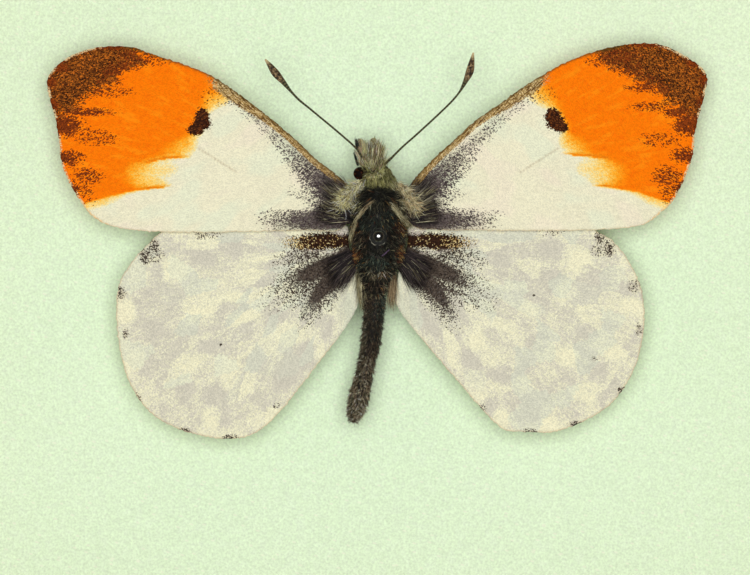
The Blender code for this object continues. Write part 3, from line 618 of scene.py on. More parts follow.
def forewing_finish(name, turn):
    f = Finish(name, 0.8, 0.07)
    r, g, b, middle = f.cells(f.flat(turn, (10.0, 18.0)))
    r2, g2, b2, _ = f.cells(f.flat(turn + 0.4, (12.0, 20.0)))
    streak = f.noise(f.rays(0.45, 2.6), detail=4.0, rough=0.6, flat=True)
    fine = f.noise(f.rays(1.4, 7.0), detail=3.0, rough=0.6, flat=True)
    soft = f.noise(f.position(), 0.35, 3.0)
    # Cream, with a faint painted sheen: greener and pinker patches.
    cream = f.mix(f.between(soft, 0.35, 0.65), (232, 227, 198), (227, 222, 194))
    cream = f.mix(f.between(fine, 0.3, 0.7), cream, (236, 231, 203))
    painted_sheen = f.noise(f.flat(turn, (0.22, 0.4)), detail=2.0, flat=True)
    cream = f.lay(cream, f.between(painted_sheen, 0.52, 0.68), 0.55, (224, 230, 204))
    cream = f.lay(cream, f.between(painted_sheen, 0.48, 0.34), 0.45, (238, 224, 204))
    # Orange that fades through yellow, streaked and riper in patches.
    warm_base = f.attribute("orange")
    grainy = f.times(f.swing(g, 0.09), f.between(warm_base, 1.0, 0.6))
    calm = f.scaled(f.between(warm_base, 0.4, 0.9), 0.1, 0.07)
    stir = f.times(calm, f.add(f.swing(streak, 1.0), f.swing(fine, 1.0)))
    orange = f.add(warm_base, stir, grainy)
    orange = f.times(orange, f.between(warm_base, 0.0, 0.12))
    warm = f.ramp(orange, [
        (0.05, (233, 227, 194)), (0.20, (243, 222, 158)), (0.36, (249, 202, 98)),
        (0.52, (251, 168, 38)), (0.72, (250, 134, 4)), (1.0, (248, 119, 0)),
    ])
    colour = f.mix(f.between(orange, 0.02, 0.12), cream, warm)
    bands = f.times(f.between(streak, 0.5, 0.68), f.between(orange, 0.55, 0.85))
    colour = f.lay(colour, bands, 0.55, (255, 148, 16))
    mottle = f.noise(f.flat(turn, (2.2, 3.4)), detail=3.0, rough=0.6, flat=True)
    ripe = f.times(f.between(mottle, 0.5, 0.72), f.between(orange, 0.5, 0.9))
    colour = f.lay(colour, ripe, 0.5, (238, 100, 0))
    colour = f.lay(colour, f.attribute("line"), 0.6, (206, 108, 20))
    # Brown tip with a broken edge.
    rough_edge = f.add(f.attribute("apex"), f.swing(streak, 0.62), f.swing(r, 0.34), f.swing(fine, 0.36))
    rough_edge = f.times(rough_edge, f.between(f.attribute("apex"), 0.0, 0.2))
    brown = f.ramp(b, [
        (0.0, (60, 26, 8)), (0.26, (100, 48, 14)), (0.5, (134, 74, 22)),
        (0.78, (164, 92, 26)), (1.0, (214, 112, 30)),
    ])
    patch = f.between(f.noise(f.flat(turn, (0.5, 0.9)), detail=2.0, flat=True), 0.4, 0.62)
    brown = f.mix(patch, brown, f.level(brown, 0.88))
    colour = f.mix(f.between(rough_edge, 0.46, 0.56), colour, brown)
    ink = f.below(r2, f.add(f.attribute("ink"), f.swing(fine, 0.25)))
    ink = f.times(ink, f.between(f.attribute("ink"), 0.02, 0.1))
    colour = f.mix(ink, colour, (56, 27, 8))
    # Grey haze and dark dust at the root, and dark flecks.
    haze = f.times(f.between(f.add(f.attribute("haze"), f.swing(fine, 0.24)), 0.0, 0.9), 0.94)
    haze = f.times(haze, f.between(f.attribute("haze"), 0.0, 0.12))
    veil = f.times(haze, f.scaled(f.between(haze, 0.45, 0.85), 0.57, 0.43))
    colour = f.mix(veil, colour, f.mix(g, (30, 24, 24), (78, 67, 63)))
    pepper = f.below(g2, f.times(haze, 0.8))
    colour = f.lay(colour, pepper, 0.85, f.mix(b, (44, 36, 34), (98, 82, 77)))
    thin = f.between(f.attribute("dark"), 0.01, 0.06)
    fleck = f.below(r, f.add(f.attribute("dark"), f.swing(fine, 0.3)))
    fleck = f.times(fleck, thin)
    deep = f.mix(f.between(warm_base, 0.1, 0.5), f.mix(g2, (40, 32, 33), (112, 100, 98)),
                 f.mix(g2, (70, 28, 10), (150, 66, 16)))
    colour = f.mix(fleck, colour, deep)
    # Tan front band with dark dashes and a brown edge.
    tan = f.ramp(r2, [
        (0.0, (92, 68, 34)), (0.22, (140, 108, 58)), (0.42, (184, 152, 94)),
        (0.7, (208, 180, 124)), (1.0, (228, 206, 158)),
    ])
    dashes = f.noise(f.rays(1.5, 9.0), detail=3.0, rough=0.6, flat=True)
    tan = f.lay(tan, f.between(dashes, 0.47, 0.56), 0.75, (118, 86, 42))
    tan = f.lay(tan, f.between(dashes, 0.56, 0.62), 0.85, (78, 48, 22))
    colour = f.mix(f.between(f.add(f.attribute("tan"), f.swing(r, 0.24)), 0.35, 0.7), colour, tan)
    colour = f.lay(colour, f.attribute("edge"), 0.75, f.mix(g2, (66, 50, 18), (112, 84, 34)))
    # Dark spot, fringe, veins, and painted shade along a crease.
    spot = f.add(f.attribute("spot"), f.swing(r2, 0.22), f.swing(fine, 0.3))
    ink = f.mix(f.between(b, 0.6, 1.0), f.mix(g2, (30, 12, 5), (64, 30, 14)), (116, 62, 26))
    colour = f.mix(f.between(spot, 0.40, 0.48), colour, ink)
    fringe = f.times(f.between(f.attribute("fringe"), 0.3, 0.8), f.below(g, 0.78))
    colour = f.lay(colour, fringe, f.rest(fleck), (236, 206, 156))
    colour = f.lay(colour, f.attribute("vein"), 0.12, f.level(colour, 0.75))
    colour = f.lay(colour, f.attribute("crease_shade"), 0.6, (176, 156, 122))
    colour = f.level(colour, f.scaled(b2, 0.22, 0.89))
    f.bump(f.add(f.times(middle, -0.6), fine), 0.02, 0.5)
    return f.done(colour)


def hindwing_finish(name, turn):
    f = Finish(name, 0.8, 0.07)
    r, g, b, middle = f.cells(f.flat(turn, (13.0, 18.0)))
    _, g2, b2, _ = f.cells(f.flat(turn + 0.4, (12.0, 16.0)))
    fine = f.noise(f.rays(1.2, 7.0), detail=3.0, rough=0.6, flat=True)
    broad = f.noise(f.rays(0.55, 0.9), detail=4.0, rough=0.65, warp=0.4, flat=True)
    facet, facet_2, _, _ = f.cells(f.shaken(f.rays(0.62, 0.8), 0.22))
    # Marbling of grey and cream.
    marble = f.add(f.attribute("marble"), f.swing(broad, 0.4), f.swing(fine, 0.36), f.swing(g, 0.22),
                   f.swing(facet, 0.26))
    colour = f.ramp(marble, [
        (0.18, (205, 200, 184)), (0.40, (211, 206, 188)), (0.50, (218, 214, 192)),
        (0.60, (228, 225, 197)), (0.85, (234, 230, 199)), (1.0, (237, 232, 200)),
    ])
    colour = f.lay(colour, f.between(facet_2, 0.7, 0.8), 0.4, (214, 220, 200))
    colour = f.lay(colour, f.attribute("pale"), 0.8, (203, 204, 184))
    colour = f.lay(colour, f.attribute("stain"), 0.5, (150, 122, 96))
    # Grey haze, dark dust and flecks, and pale grains among them.
    haze = f.between(f.add(f.attribute("haze"), f.swing(fine, 0.45)), 0.1, 0.85)
    haze = f.times(haze, f.between(f.attribute("haze"), 0.0, 0.2))
    veil = f.times(haze, f.scaled(f.between(haze, 0.5, 0.9), 0.46, 0.48))
    colour = f.mix(veil, colour, f.mix(g, (26, 20, 21), (96, 84, 79)))
    pepper = f.below(b2, f.times(haze, 0.6))
    colour = f.lay(colour, pepper, 0.85, f.mix(b, (34, 27, 26), (84, 74, 68)))
    thin = f.between(f.attribute("dark"), 0.01, 0.06)
    fleck = f.times(f.below(r, f.add(f.attribute("dark"), f.swing(fine, 0.28))), thin)
    colour = f.mix(fleck, colour, f.mix(g2, (34, 27, 24), (92, 80, 70)))
    grain = f.below(b, f.times(f.attribute("haze"), 0.3))
    salt = f.times(grain, f.between(f.attribute("haze"), 0.95, 0.6))
    colour = f.lay(colour, salt, 0.8, (226, 222, 196))
    # Bronze block at the front of the root, with the white lines beside it.
    block = f.between(f.add(f.attribute("block"), f.swing(r, 0.3)), 0.4, 0.6)
    gold = f.below(b, f.attribute("gold"))
    glint = f.ramp(g2, [(0.0, (112, 76, 40)), (0.5, (186, 156, 100)), (1.0, (232, 216, 160))])
    bronze = f.mix(gold, f.mix(g, (24, 14, 9), (62, 37, 23)), glint)
    colour = f.mix(block, colour, bronze)
    patchy = f.times(f.attribute("white"), f.between(f.add(b, f.swing(fine, 0.3)), 0.72, 0.6))
    colour = f.mix(patchy, colour, f.mix(g, (226, 218, 206), (170, 154, 138)))
    # Fringe and veins.
    rim = f.times(f.between(f.attribute("fringe"), 0.3, 0.95), f.rest(fleck))
    colour = f.lay(colour, rim, 0.5, (228, 206, 170))
    colour = f.lay(colour, f.attribute("vein"), 0.1, f.level(colour, 0.8))
    colour = f.level(colour, f.scaled(b2, 0.28, 0.855))
    f.bump(f.add(f.times(middle, -0.6), fine), 0.02, 0.5)
    return f.done(colour)


def camber(points, side):
    """Arch of a wing: none at its root and at CAMBER_REACH from it, and most half way."""
    reach = np.hypot(side * points[:, 0] - 2.0, points[:, 1] - 1.0) / CAMBER_REACH
    return CAMBER * np.sin(np.pi * np.minimum(reach, 1.0))


def wing(name, outline, height, side, veins, root, finish, paint):
    """A thin sheet with raised veins. Its scales' pattern is carried by attributes."""
    edge = spline([(x, z, 0.0) for x, z in outline], RIM_STEP, closed=True)[:, :2]
    away = edge - np.roll(edge, 1, axis=0)
    normal = np.stack([away[:, 1], -away[:, 0]], axis=1) / np.linalg.norm(away, axis=1)[:, None]
    edge = edge + normal * rng.normal(0, RIM_ROUGH, (len(edge), 1))
    low, high = edge.min(0), edge.max(0)
    rows = np.arange(low[1], high[1], WING_STEP * 0.866)
    cols = np.arange(low[0], high[0], WING_STEP)
    grid = np.array([(x + (i % 2) * WING_STEP / 2, z) for i, z in enumerate(rows) for x in cols])
    grid = grid + rng.normal(0, GRID_ROUGH, grid.shape)
    grid = grid[depth_in(grid, edge) > GRID_INSET]
    points = np.vstack([edge, grid])
    rim = [(i, (i + 1) % len(edge)) for i in range(len(edge))]
    verts, _, faces, _, _, _ = delaunay_2d_cdt([Vector(p) for p in points], rim, [], 1, 1e-7)
    flat = np.array([(v.x, v.y) for v in verts])
    faces = np.array([list(face) for face in faces])
    used = np.unique(faces)
    flat = flat[used]
    faces = np.searchsorted(used, faces)
    a, b, c = (flat[faces[:, k]] for k in range(3))
    turned = (b - a)[:, 0] * (c - a)[:, 1] - (b - a)[:, 1] * (c - a)[:, 0] < 0
    faces[turned] = faces[turned][:, ::-1]
    inside = depth_in(flat, edge)
    vein = np.exp(-(veins_at(flat, veins, side) / VEIN_HALF) ** 2)
    middle = height + camber(flat, side)
    wave = WAVE_RISE * np.sin(flat[:, 0] * 1.3) * np.sin(flat[:, 1] * 1.7 + 1.0)
    half = WING_HALF * (RIM_THIN + (1 - RIM_THIN) * smooth(inside, 0.0, 0.3))
    front = np.column_stack([flat, middle + half + VEIN_RISE * vein * smooth(inside, 0.0, 0.4) + wave])
    back = np.column_stack([flat, middle - half + wave])
    count = len(flat)
    pairs = np.vstack([faces[:, [0, 1]], faces[:, [1, 2]], faces[:, [2, 0]]])
    known = {tuple(p) for p in pairs.tolist()}
    loose = np.array([p for p in known if (p[1], p[0]) not in known])
    band = np.vstack([np.column_stack([loose[:, 0], loose[:, 0] + count, loose[:, 1] + count]),
                      np.column_stack([loose[:, 0], loose[:, 1] + count, loose[:, 1]])])
    every = np.vstack([faces, faces[:, ::-1] + count, band])
    reach = np.hypot(side * flat[:, 0] - root[0], flat[:, 1] - root[1])
    ray = np.arctan2(flat[:, 1] - root[1], side * flat[:, 0] - root[0]) * RAY_RADIUS
    floats = {"reach": reach, "ray": ray + RAY_SHIFT * side, "vein": vein}
    floats |= paint(flat, side, inside)
    floats = {key: np.concatenate([value, value]) for key, value in floats.items()}
    return new_mesh(name, np.vstack([front, back]), every, finish, [name], floats)


# Dust and haze at the wing bases, for the right side: (across, up, half width, strength).
FORE_DUST = [
    [(2.2, 2.4, 1.4, 1.0), (3.0, 3.0, 1.4, 1.0), (3.8, 3.6, 1.3, 0.85), (4.7, 4.4, 1.15, 0.66),
     (5.6, 5.2, 0.9, 0.46), (6.6, 6.3, 0.7, 0.22), (8.2, 7.9, 0.5, 0.15), (9.8, 9.2, 0.45, 0.15),
     (11.2, 10.2, 0.4, 0.08)],
    [(2.4, 2.2, 1.0, 0.95), (3.6, 2.4, 0.9, 0.65), (4.8, 2.75, 0.8, 0.4), (5.9, 3.2, 0.6, 0.1)],
    [(2.1, 1.45, 0.9, 1.0), (3.6, 1.35, 0.9, 0.85), (5.4, 1.35, 0.8, 0.6), (7.0, 1.4, 0.65, 0.38),
     (8.2, 1.5, 0.5, 0.16), (8.8, 1.5, 0.3, 0.05)],
]
FORE_HAZE = [
    [(2.4, 2.9, 1.3, 1.15), (3.3, 3.5, 1.15, 0.82), (4.5, 4.6, 0.9, 0.58), (6.0, 6.05, 0.65, 0.4),
     (8.0, 7.9, 0.5, 0.32), (9.6, 9.15, 0.45, 0.22), (11.0, 10.2, 0.35, 0.1)],
    [(2.0, 1.4, 1.1, 1.1), (3.6, 1.25, 1.0, 0.95), (5.4, 1.1, 0.85, 0.7), (7.2, 1.0, 0.7, 0.42),
     (9.0, 1.0, 0.5, 0.0)],
]
HIND_BLOCK = [
    [(2.0, -0.12, 0.6, 1.0), (3.9, -0.26, 0.74, 1.0), (5.3, -0.3, 0.68, 0.85), (6.6, -0.34, 0.5, 0.4)],
]
HIND_STREAKS = [
    [(1.6, -1.05, 0.5, 1.0), (3.2, -1.75, 0.55, 0.95), (4.4, -2.3, 0.6, 0.72), (5.8, -2.9, 0.7, 0.3)],
    [(1.6, -1.5, 0.5, 1.0), (2.9, -2.55, 0.5, 1.0), (4.1, -3.8, 0.5, 0.72), (5.1, -5.1, 0.55, 0.25)],
    [(1.4, -1.4, 0.45, 1.0), (2.1, -2.4, 0.42, 0.9), (2.8, -3.6, 0.36, 0.35), (3.5, -5.0, 0.3, 0.15)],
]
HIND_DUST = [
    [(1.8, -1.2, 0.8, 1.0), (3.4, -2.1, 1.2, 1.0), (5.0, -3.0, 1.5, 0.74), (6.3, -3.7, 1.4, 0.4),
     (7.6, -4.4, 1.1, 0.1)],
    [(2.4, -2.2, 0.6, 0.85), (4.0, -4.0, 0.9, 0.75), (4.8, -5.3, 0.8, 0.36), (5.4, -6.4, 0.6, 0.06)],
    [(4.6, -1.1, 0.8, 0.75), (5.8, -1.3, 0.8, 0.5), (7.0, -1.6, 0.7, 0.2)],
]
WHITE_PATHS = [
    [(5.0, -0.9, 0.08, 0.7), (2.9, -1.1, 0.08, 0.7)],
    [(2.15, 0.42, 0.2, 1.0), (3.1, 0.5, 0.22, 1.0)],
]


def paint_forewing(points, side, inside):
    """What each place on a forewing shows, as values that its finish reads."""
    left = side < 0
    x, z = side * points[:, 0], points[:, 1]
    out = depth_in(points, ORANGE_LEFT if left else ORANGE_RIGHT)
    width = 1.1 + 3.4 * blobs(points, YELLOW_LEFT if left else YELLOW_RIGHT, 0.8)
    orange = np.clip(0.45 + out / width, 0, 1)
    line = np.zeros(len(x))
    for row, path in enumerate(BRIGHT_LEFT if left else BRIGHT_RIGHT):
        run = [side * p[0] for p in path]
        start, end = run[0], run[-1]
        over = z - np.interp(x, run, [p[1] for p in path])
        along = smooth(x, start - 0.2, start + 1.2) * (1.0 if row else 1 - smooth(x, end - 1.0, end))
        line = np.maximum(line, along * np.exp(-((over - 0.05) / 0.06) ** 2) * (1 - smooth(x, 15.6, 17.2)))
        orange = np.maximum(orange, 0.8 * along * np.exp(-np.maximum(over, 0) / 0.3) * (over > -0.05))
        reach = smooth(x, start - 0.3, start + 0.2) * (1.0 if row else 1 - smooth(x, end - 2.2, end - 0.7))
        gone = smooth(-over, 0.0, 0.16) * (1.0 if row else 0.6 * (1 - smooth(-over, 0.3, 0.9)))
        soft = 0.40 * smooth(x, 15.6, 18.6) * (1 - smooth(-over, 0.05, 0.4 + 0.6 * smooth(x, 17.0, 19.0)))
        orange = orange * (1 - reach * gone) + reach * gone * soft
    tip = depth_in(points, APEX_LEFT if left else APEX_RIGHT)
    apex = np.clip(0.5 + tip / 1.3, 0.0, 1.6)
    ink = 0.24 * np.exp(-((tip - 0.7) / 0.8) ** 2) + 0.13 * (tip > 0)
    dark = blobs(points, FLECKS_LEFT if left else FLECKS_RIGHT)
    cream_gap = blobs(points, [(side * 6.2, 2.35, 1.4, 0.35, 1.0)], 0.7)
    dust = strokes(points, side, FORE_DUST) * (1 - 0.8 * cream_gap)
    haze = np.maximum(strokes(points, side, FORE_HAZE) * (1 - 0.8 * cream_gap), 0.65 * dust)
    dark = np.maximum(dark, dust)
    outline = LEFT_FOREWING if left else RIGHT_FOREWING
    front_edge = spline([(a, b, 0.0) for a, b in outline if b > 3.0 and abs(a) < 19.0], 8)[:, :2]
    gap, _ = path_gap(points, front_edge)
    outer = smooth(x, 7.0, 10.5)
    tan = (1 - smooth(gap, 0.34 + 0.1 * outer, 0.56 + 0.5 * outer)) * (1 - smooth(x, 10.5, 12.8))
    edge = 1 - smooth(gap, 0.07, 0.17)
    fringe = (1 - smooth(inside, 0.06, 0.22)) * smooth(x, 17.5, 19.5)
    fringe = np.maximum(fringe, 0.6 * (1 - smooth(inside, 0.05, 0.16)) * (z < 3.0))
    # Painted shade: a thin darker line along a crease in the wing.
    crease_shade = np.exp(-(path_gap(points, [(side * 12.5, 6.2), (side * 9.9, 4.55)])[0] / 0.05) ** 2)
    spot = blobs(points, SPOT_LEFT if left else SPOT_RIGHT, 0.8)
    return {"orange": orange, "apex": apex, "ink": ink, "dark": dark, "haze": haze, "tan": tan,
            "crease_shade": crease_shade, "line": line, "edge": edge, "spot": spot, "fringe": fringe}


def paint_hindwing(points, side, inside):
    """What each place on a hindwing shows, as values that its finish reads."""
    left = side < 0
    x, z = side * points[:, 0], points[:, 1]
    marble = 0.48 + 0.36 * blobs(points, CREAM_LEFT if left else CREAM_RIGHT, 0.5)
    marble = marble - 0.34 * blobs(points, GREY_LEFT if left else GREY_RIGHT, 0.5)
    marble = marble + 0.2 * (1 - smooth(inside, 0.1, 1.2))
    margin = blobs(points, MARGIN_LEFT if left else MARGIN_RIGHT)
    dark = 1.1 * margin
    streaks = strokes(points, side, HIND_STREAKS)
    dark = np.maximum(dark, np.maximum(strokes(points, side, HIND_DUST), 0.9 * streaks))
    root = np.exp(-(np.hypot(x - 1.7, z + 0.9) / 0.8) ** 2)
    haze = np.clip(0.95 * streaks + 0.75 * strokes(points, side, HIND_DUST) + root, 0, 1)
    block = strokes(points, side, HIND_BLOCK)
    gold = 0.1 + 0.42 * smooth(x, 4.2, 6.0)
    pale = np.clip(blobs(points, [(side * 2.1, -4.9, 0.9, 1.8, 0.8)], 0.8), 0, 1)
    white = blobs(points, [(side * 2.55, 0.42, 0.5, 0.3, 1.0)], 0.4)
    white = np.maximum(white, strokes(points, side, WHITE_PATHS))
    fringe = 1 - smooth(inside, 0.04, 0.18)
    return {"marble": marble, "dark": dark, "haze": haze, "block": block, "gold": gold, "pale": pale,
            "white": white, "fringe": fringe * (x > 3.0), "stain": np.clip(margin, 0, 1) * (x > 12.0)}


def rings_of(stations, each):
    """Centres, sideways and depth vectors along a lofted form."""
    rows = spline(stations, each)
    along = np.gradient(rows[:, :3], axis=0)
    along /= np.linalg.norm(along, axis=1)[:, None]
    wide = np.cross(along, (0.0, 0.0, -1.0))
    wide /= np.linalg.norm(wide, axis=1)[:, None]
    deep = np.cross(wide, along)
    return rows, along, wide, deep


def skin(stations, shrink, sides, each):
    """A closed form of elliptical rings with a point at each end: (verts, triangles)."""
    rows, along, wide, deep = rings_of(stations, each)
    turn = np.arange(sides) * 2 * np.pi / sides
    half_wide = rows[:, 3:4] * shrink
    half_deep = rows[:, 4:5] * shrink
    rings = (rows[:, None, :3] + wide[:, None] * (half_wide * np.cos(turn))[..., None]
             + deep[:, None] * (half_deep * np.sin(turn))[..., None])
    count = len(rows)
    first_pole = rows[0, :3] - along[0] * rows[0, 3] * 0.5 * shrink
    last_pole = rows[-1, :3] + along[-1] * rows[-1, 3] * 0.5 * shrink
    verts = np.vstack([rings.reshape(-1, 3), first_pole, last_pole])
    faces = []
    for i in range(count - 1):
        for k in range(sides):
            a, b = i * sides + k, i * sides + (k + 1) % sides
            faces += [(a, b, b + sides), (a, b + sides, a + sides)]
    for k in range(sides):
        faces.append((count * sides, (k + 1) % sides, k))
        last = (count - 1) * sides
        faces.append((count * sides + 1, last + k, last + (k + 1) % sides))
    return verts, np.array(faces)


def roots_on(stations, count, shrink=0.9, front_share=0.8):
    """Random places on a form: (points, outward directions, directions along it, share of its run)."""
    rows, along, wide, deep = rings_of(stations, 8)
    weight = (rows[:-1, 3] + rows[1:, 3]) * np.linalg.norm(np.diff(rows[:, :3], axis=0), axis=1)
    i = rng.choice(len(rows) - 1, count, p=weight / weight.sum())
    s = rng.random((count, 1))
    row = rows[i] * (1 - s) + rows[i + 1] * s
    turn = rng.random(count) * np.pi
    turn = np.where(rng.random(count) < front_share, turn + np.pi, turn)[:, None]
    w, d = row[:, 3:4] * shrink, row[:, 4:5] * shrink
    points = row[:, :3] + wide[i] * w * np.cos(turn) + deep[i] * d * np.sin(turn)
    out = wide[i] * np.cos(turn) / w + deep[i] * np.sin(turn) / d
    out /= np.linalg.norm(out, axis=1)[:, None]
    return points, out, along[i], (i + s[:, 0]) / (len(rows) - 1)


def scatter(count, across, up, height):
    """Random insect points in a box."""
    return np.column_stack([rng.uniform(*span, count) for span in (across, up, height)])


def clumped(points, pitch, reach):
    """One random shift for all the points in each small block of space."""
    block = np.floor(points / pitch).astype(int)
    _, number = np.unique(block, axis=0, return_inverse=True)
    return rng.normal(0, reach, (number.max() + 1, 3))[number.ravel()]


def hairs(points, start, flow, length, radius, tint, stray, dim=0.45, clump=0.0):
    """Tapered three-sided strands that leave in one direction and bend into another."""
    n = len(points)
    if clump:
        flow = flow + clumped(points, 0.22, clump)
    start = start + rng.normal(0, stray, (n, 3))
    start /= np.linalg.norm(start, axis=1)[:, None]
    flow = np.broadcast_to(flow, (n, 3)) + rng.normal(0, stray, (n, 3))
    flow = flow / np.linalg.norm(flow, axis=1)[:, None]
    length = np.broadcast_to(length, n)[:, None] * rng.uniform(0.65, 1.25, (n, 1))
    side = np.cross(flow, start + rng.normal(0, 0.3, (n, 3)))
    side /= np.linalg.norm(side, axis=1)[:, None] + 1e-9
    rings, colours = [], []
    for s, thick in HAIR_RINGS:
        centre = points + length * (start * s * (1 - 0.5 * s) + flow * s * s * 0.62)
        axis = start * (1 - s) + flow * 1.24 * s
        axis /= np.linalg.norm(axis, axis=1)[:, None]
        up = np.cross(side, axis)
        for turn in HAIR_SIDES:
            rings.append(centre + radius * thick * (side * np.cos(turn) + up * np.sin(turn)))
            colours.append(tint * (dim + (1 - dim) * min(1.0, s * 1.6)))
    rings.append(points + length * (start * 0.5 + flow * 0.62))
    colours.append(tint * 1.1)
    verts = np.stack(rings, axis=1).reshape(-1, 3)
    tints = np.clip(np.stack(colours, axis=1).reshape(-1, 3), 0, 1)
    one = []
    for ring in (0, 3):
        for k in range(3):
            a, b = ring + k, ring + (k + 1) % 3
            one += [(a, b, b + 3), (a, b + 3, a + 3)]
    one += [(6 + k, 6 + (k + 1) % 3, 9) for k in range(3)]
    faces = (np.array(one)[None] + 10 * np.arange(n)[:, None, None]).reshape(-1, 3)
    return verts, faces, tints


def pick(choices, count):
    """A random one of the screen colours for each strand, a little lighter or darker."""
    table = np.array([shade(*c) for c in choices])
    return table[rng.integers(len(table), size=count)] * rng.uniform(0.55, 1.6, (count, 1))


def furry(name, nodes, parts, finish):
    """One piece from several (verts, faces, tints)."""
    verts, faces, tints, start = [], [], [], 0
    for v, f, t in parts:
        verts.append(v)
        faces.append(f + start)
        tints.append(t)
        start += len(v)
    return new_mesh(name, np.vstack(verts), np.vstack(faces), finish, nodes, tint=np.vstack(tints))


def plain(part, colour):
    """A form of one screen colour, as (verts, faces, tints)."""
    verts, faces = part
    return verts, faces, np.tile(np.array(shade(*colour)), (len(verts), 1))


def hair_finish():
    f = Finish("insect hair", 0.55, 0.25)
    mottle = f.noise(f.position(), 3.0, 3.0, 0.6)
    colour = f.level(f.tint(), f.scaled(mottle, 0.7, 0.65))
    f.bump(f.noise(f.position(), 14.0, 2.0), 0.03, 0.4)
    return f.done(colour)


DARK_HAIR = [(24, 25, 20), (36, 36, 28), (50, 48, 38), (30, 27, 24), (16, 16, 14), (84, 82, 66)]
GREY_HAIR = [(190, 182, 136), (120, 112, 76), (220, 214, 168), (44, 38, 26), (160, 132, 104), (112, 118, 76),
             (152, 154, 108)]
OLIVE_HAIR = [(138, 136, 78), (84, 84, 50), (166, 162, 102), (46, 46, 28), (196, 190, 132)]
CREAM_HAIR = [(252, 238, 172), (226, 212, 150), (196, 184, 128), (254, 246, 204), (136, 124, 88),
              (66, 56, 44)]
DULL_HAIR = [(184, 172, 130), (208, 198, 156), (146, 136, 98), (84, 74, 56), (228, 220, 182)]
TAN_HAIR = [(184, 158, 120), (204, 180, 140), (150, 124, 92), (110, 88, 64)]
BROWN_HAIR = [(62, 50, 40), (92, 76, 60), (36, 28, 24), (136, 118, 94), (24, 19, 17)]
RED_HAIR = [(112, 60, 34), (150, 98, 56), (70, 34, 24), (40, 22, 16), (196, 150, 88)]
TEAL_HAIR = [(44, 56, 50), (60, 72, 62), (34, 44, 40), (88, 96, 82), (26, 32, 28)]
PINK_HAIR = [(208, 164, 142), (172, 128, 108), (224, 190, 166)]
TIP_HAIR = [(158, 148, 118), (112, 106, 78), (36, 36, 26), (144, 124, 102), (214, 204, 178), (48, 54, 42)]
DUSK_HAIR = [(32, 25, 27), (46, 37, 39), (64, 52, 52), (22, 17, 19), (104, 92, 88)]
NECK = (-0.18, 4.15, 2.40, 0.42, 0.5)
WAIST = (-0.25, -3.95, 2.05, 0.50, 0.60)

# Where the body's hair changes colour: (across, up, half width, half height, share, palette, level).
THORAX_TONES = [
    (0.0, 4.1, 1.3, 0.45, 0.9, OLIVE_HAIR, 1.0), (-1.45, 3.35, 0.55, 0.6, 0.9, CREAM_HAIR, 1.4),
    (-1.75, 2.6, 0.75, 1.0, 0.85, CREAM_HAIR, 1.2), (1.75, 2.6, 0.75, 1.0, 0.8, DULL_HAIR, 1.3),
    (-0.6, 1.0, 0.7, 0.8, 0.6, TEAL_HAIR, 1.0), (0.5, 1.3, 0.6, 0.8, 0.45, TEAL_HAIR, 1.1),
    (-1.1, -0.1, 0.8, 0.6, 0.75, BROWN_HAIR, 0.8), (0.9, 0.2, 0.5, 0.6, 0.4, BROWN_HAIR, 0.8),
    (-1.6, 0.7, 0.45, 0.5, 0.5, RED_HAIR, 1.0), (-1.55, -1.2, 0.42, 0.8, 0.65, RED_HAIR, 1.2),
    (1.45, 0.8, 0.5, 0.5, 0.55, RED_HAIR, 1.2), (1.5, -1.2, 0.45, 0.8, 0.65, RED_HAIR, 1.2),
    (-0.2, -1.7, 1.0, 0.6, 0.85, TEAL_HAIR, 1.4), (0.0, -2.55, 1.0, 0.34, 0.75, TIP_HAIR, 0.9),
    (-0.2, -3.3, 0.9, 0.5, 0.6, BROWN_HAIR, 0.9),
]
ABDOMEN_TONES = [
    (0.2, -4.6, 0.5, 1.3, 0.7, TEAL_HAIR, 1.7), (-0.4, -6.0, 0.9, 1.6, 0.35, TEAL_HAIR, 1.0),
    (-1.0, -9.4, 0.9, 1.4, 0.55, TIP_HAIR, 0.8), (-1.6, -11.6, 1.1, 1.6, 0.75, TIP_HAIR, 1.0),
    (-1.0, -6.2, 0.3, 2.6, 0.6, TIP_HAIR, 1.1), (-0.25, -3.9, 0.9, 0.5, 0.35, DULL_HAIR, 0.7),
]
HEAD_TONES = [
    (0.55, 4.6, 0.6, 0.6, 0.9, OLIVE_HAIR, 0.9), (-0.1, 4.1, 0.9, 0.4, 0.8, OLIVE_HAIR, 0.95),
    (-1.0, 4.0, 0.6, 0.4, 0.9, BROWN_HAIR, 0.75), (-0.8, 4.5, 0.3, 0.5, 0.6, OLIVE_HAIR, 0.7),
    (-0.3, 5.0, 0.4, 0.6, 0.45, BROWN_HAIR, 0.9),
]
# Strands that lie over the thorax: (path, count, spread, length, palette, level, radius).
THORAX_STRANDS = [
    ([(-0.25, 2.6, 3.85), (-0.9, 2.0, 3.95), (-1.45, 1.3, 3.85), (-1.75, 0.5, 3.6), (-1.85, 0.1, 3.4)],
     150, 0.08, 0.7, DULL_HAIR + TAN_HAIR[:1], 0.75, 0.015),
    ([(0.85, 2.3, 3.9), (1.25, 1.85, 3.9), (1.7, 1.25, 3.6), (1.95, 0.9, 3.3)],
     150, 0.12, 0.6, DULL_HAIR, 0.8, 0.015),
    ([(-0.95, -0.85, 3.9), (-0.45, -1.2, 3.98), (0.0, -1.42, 4.0)],
     30, 0.03, 0.35, [(84, 76, 72), (60, 54, 54)], 0.8, 0.012),
    ([(0.76, -0.86, 3.98), (0.5, -1.1, 4.0), (0.3, -1.27, 4.0)],
     24, 0.025, 0.22, [(128, 104, 136), (96, 78, 104)], 0.95, 0.012),
]


def toned(points, base, marks):
    """A colour for each strand, from the base palette or from that of a mark it lies in."""
    tint = pick(base, len(points))
    for x, z, wide, high, share, choices, level in marks:
        chosen = rng.random(len(points)) < blobs(points, [(x, z, wide, high, share)], 0.7)
        tint[chosen] = pick(choices, chosen.sum()) * level
    return tint * np.exp(rng.normal(0, 0.3, (len(points), 1)))


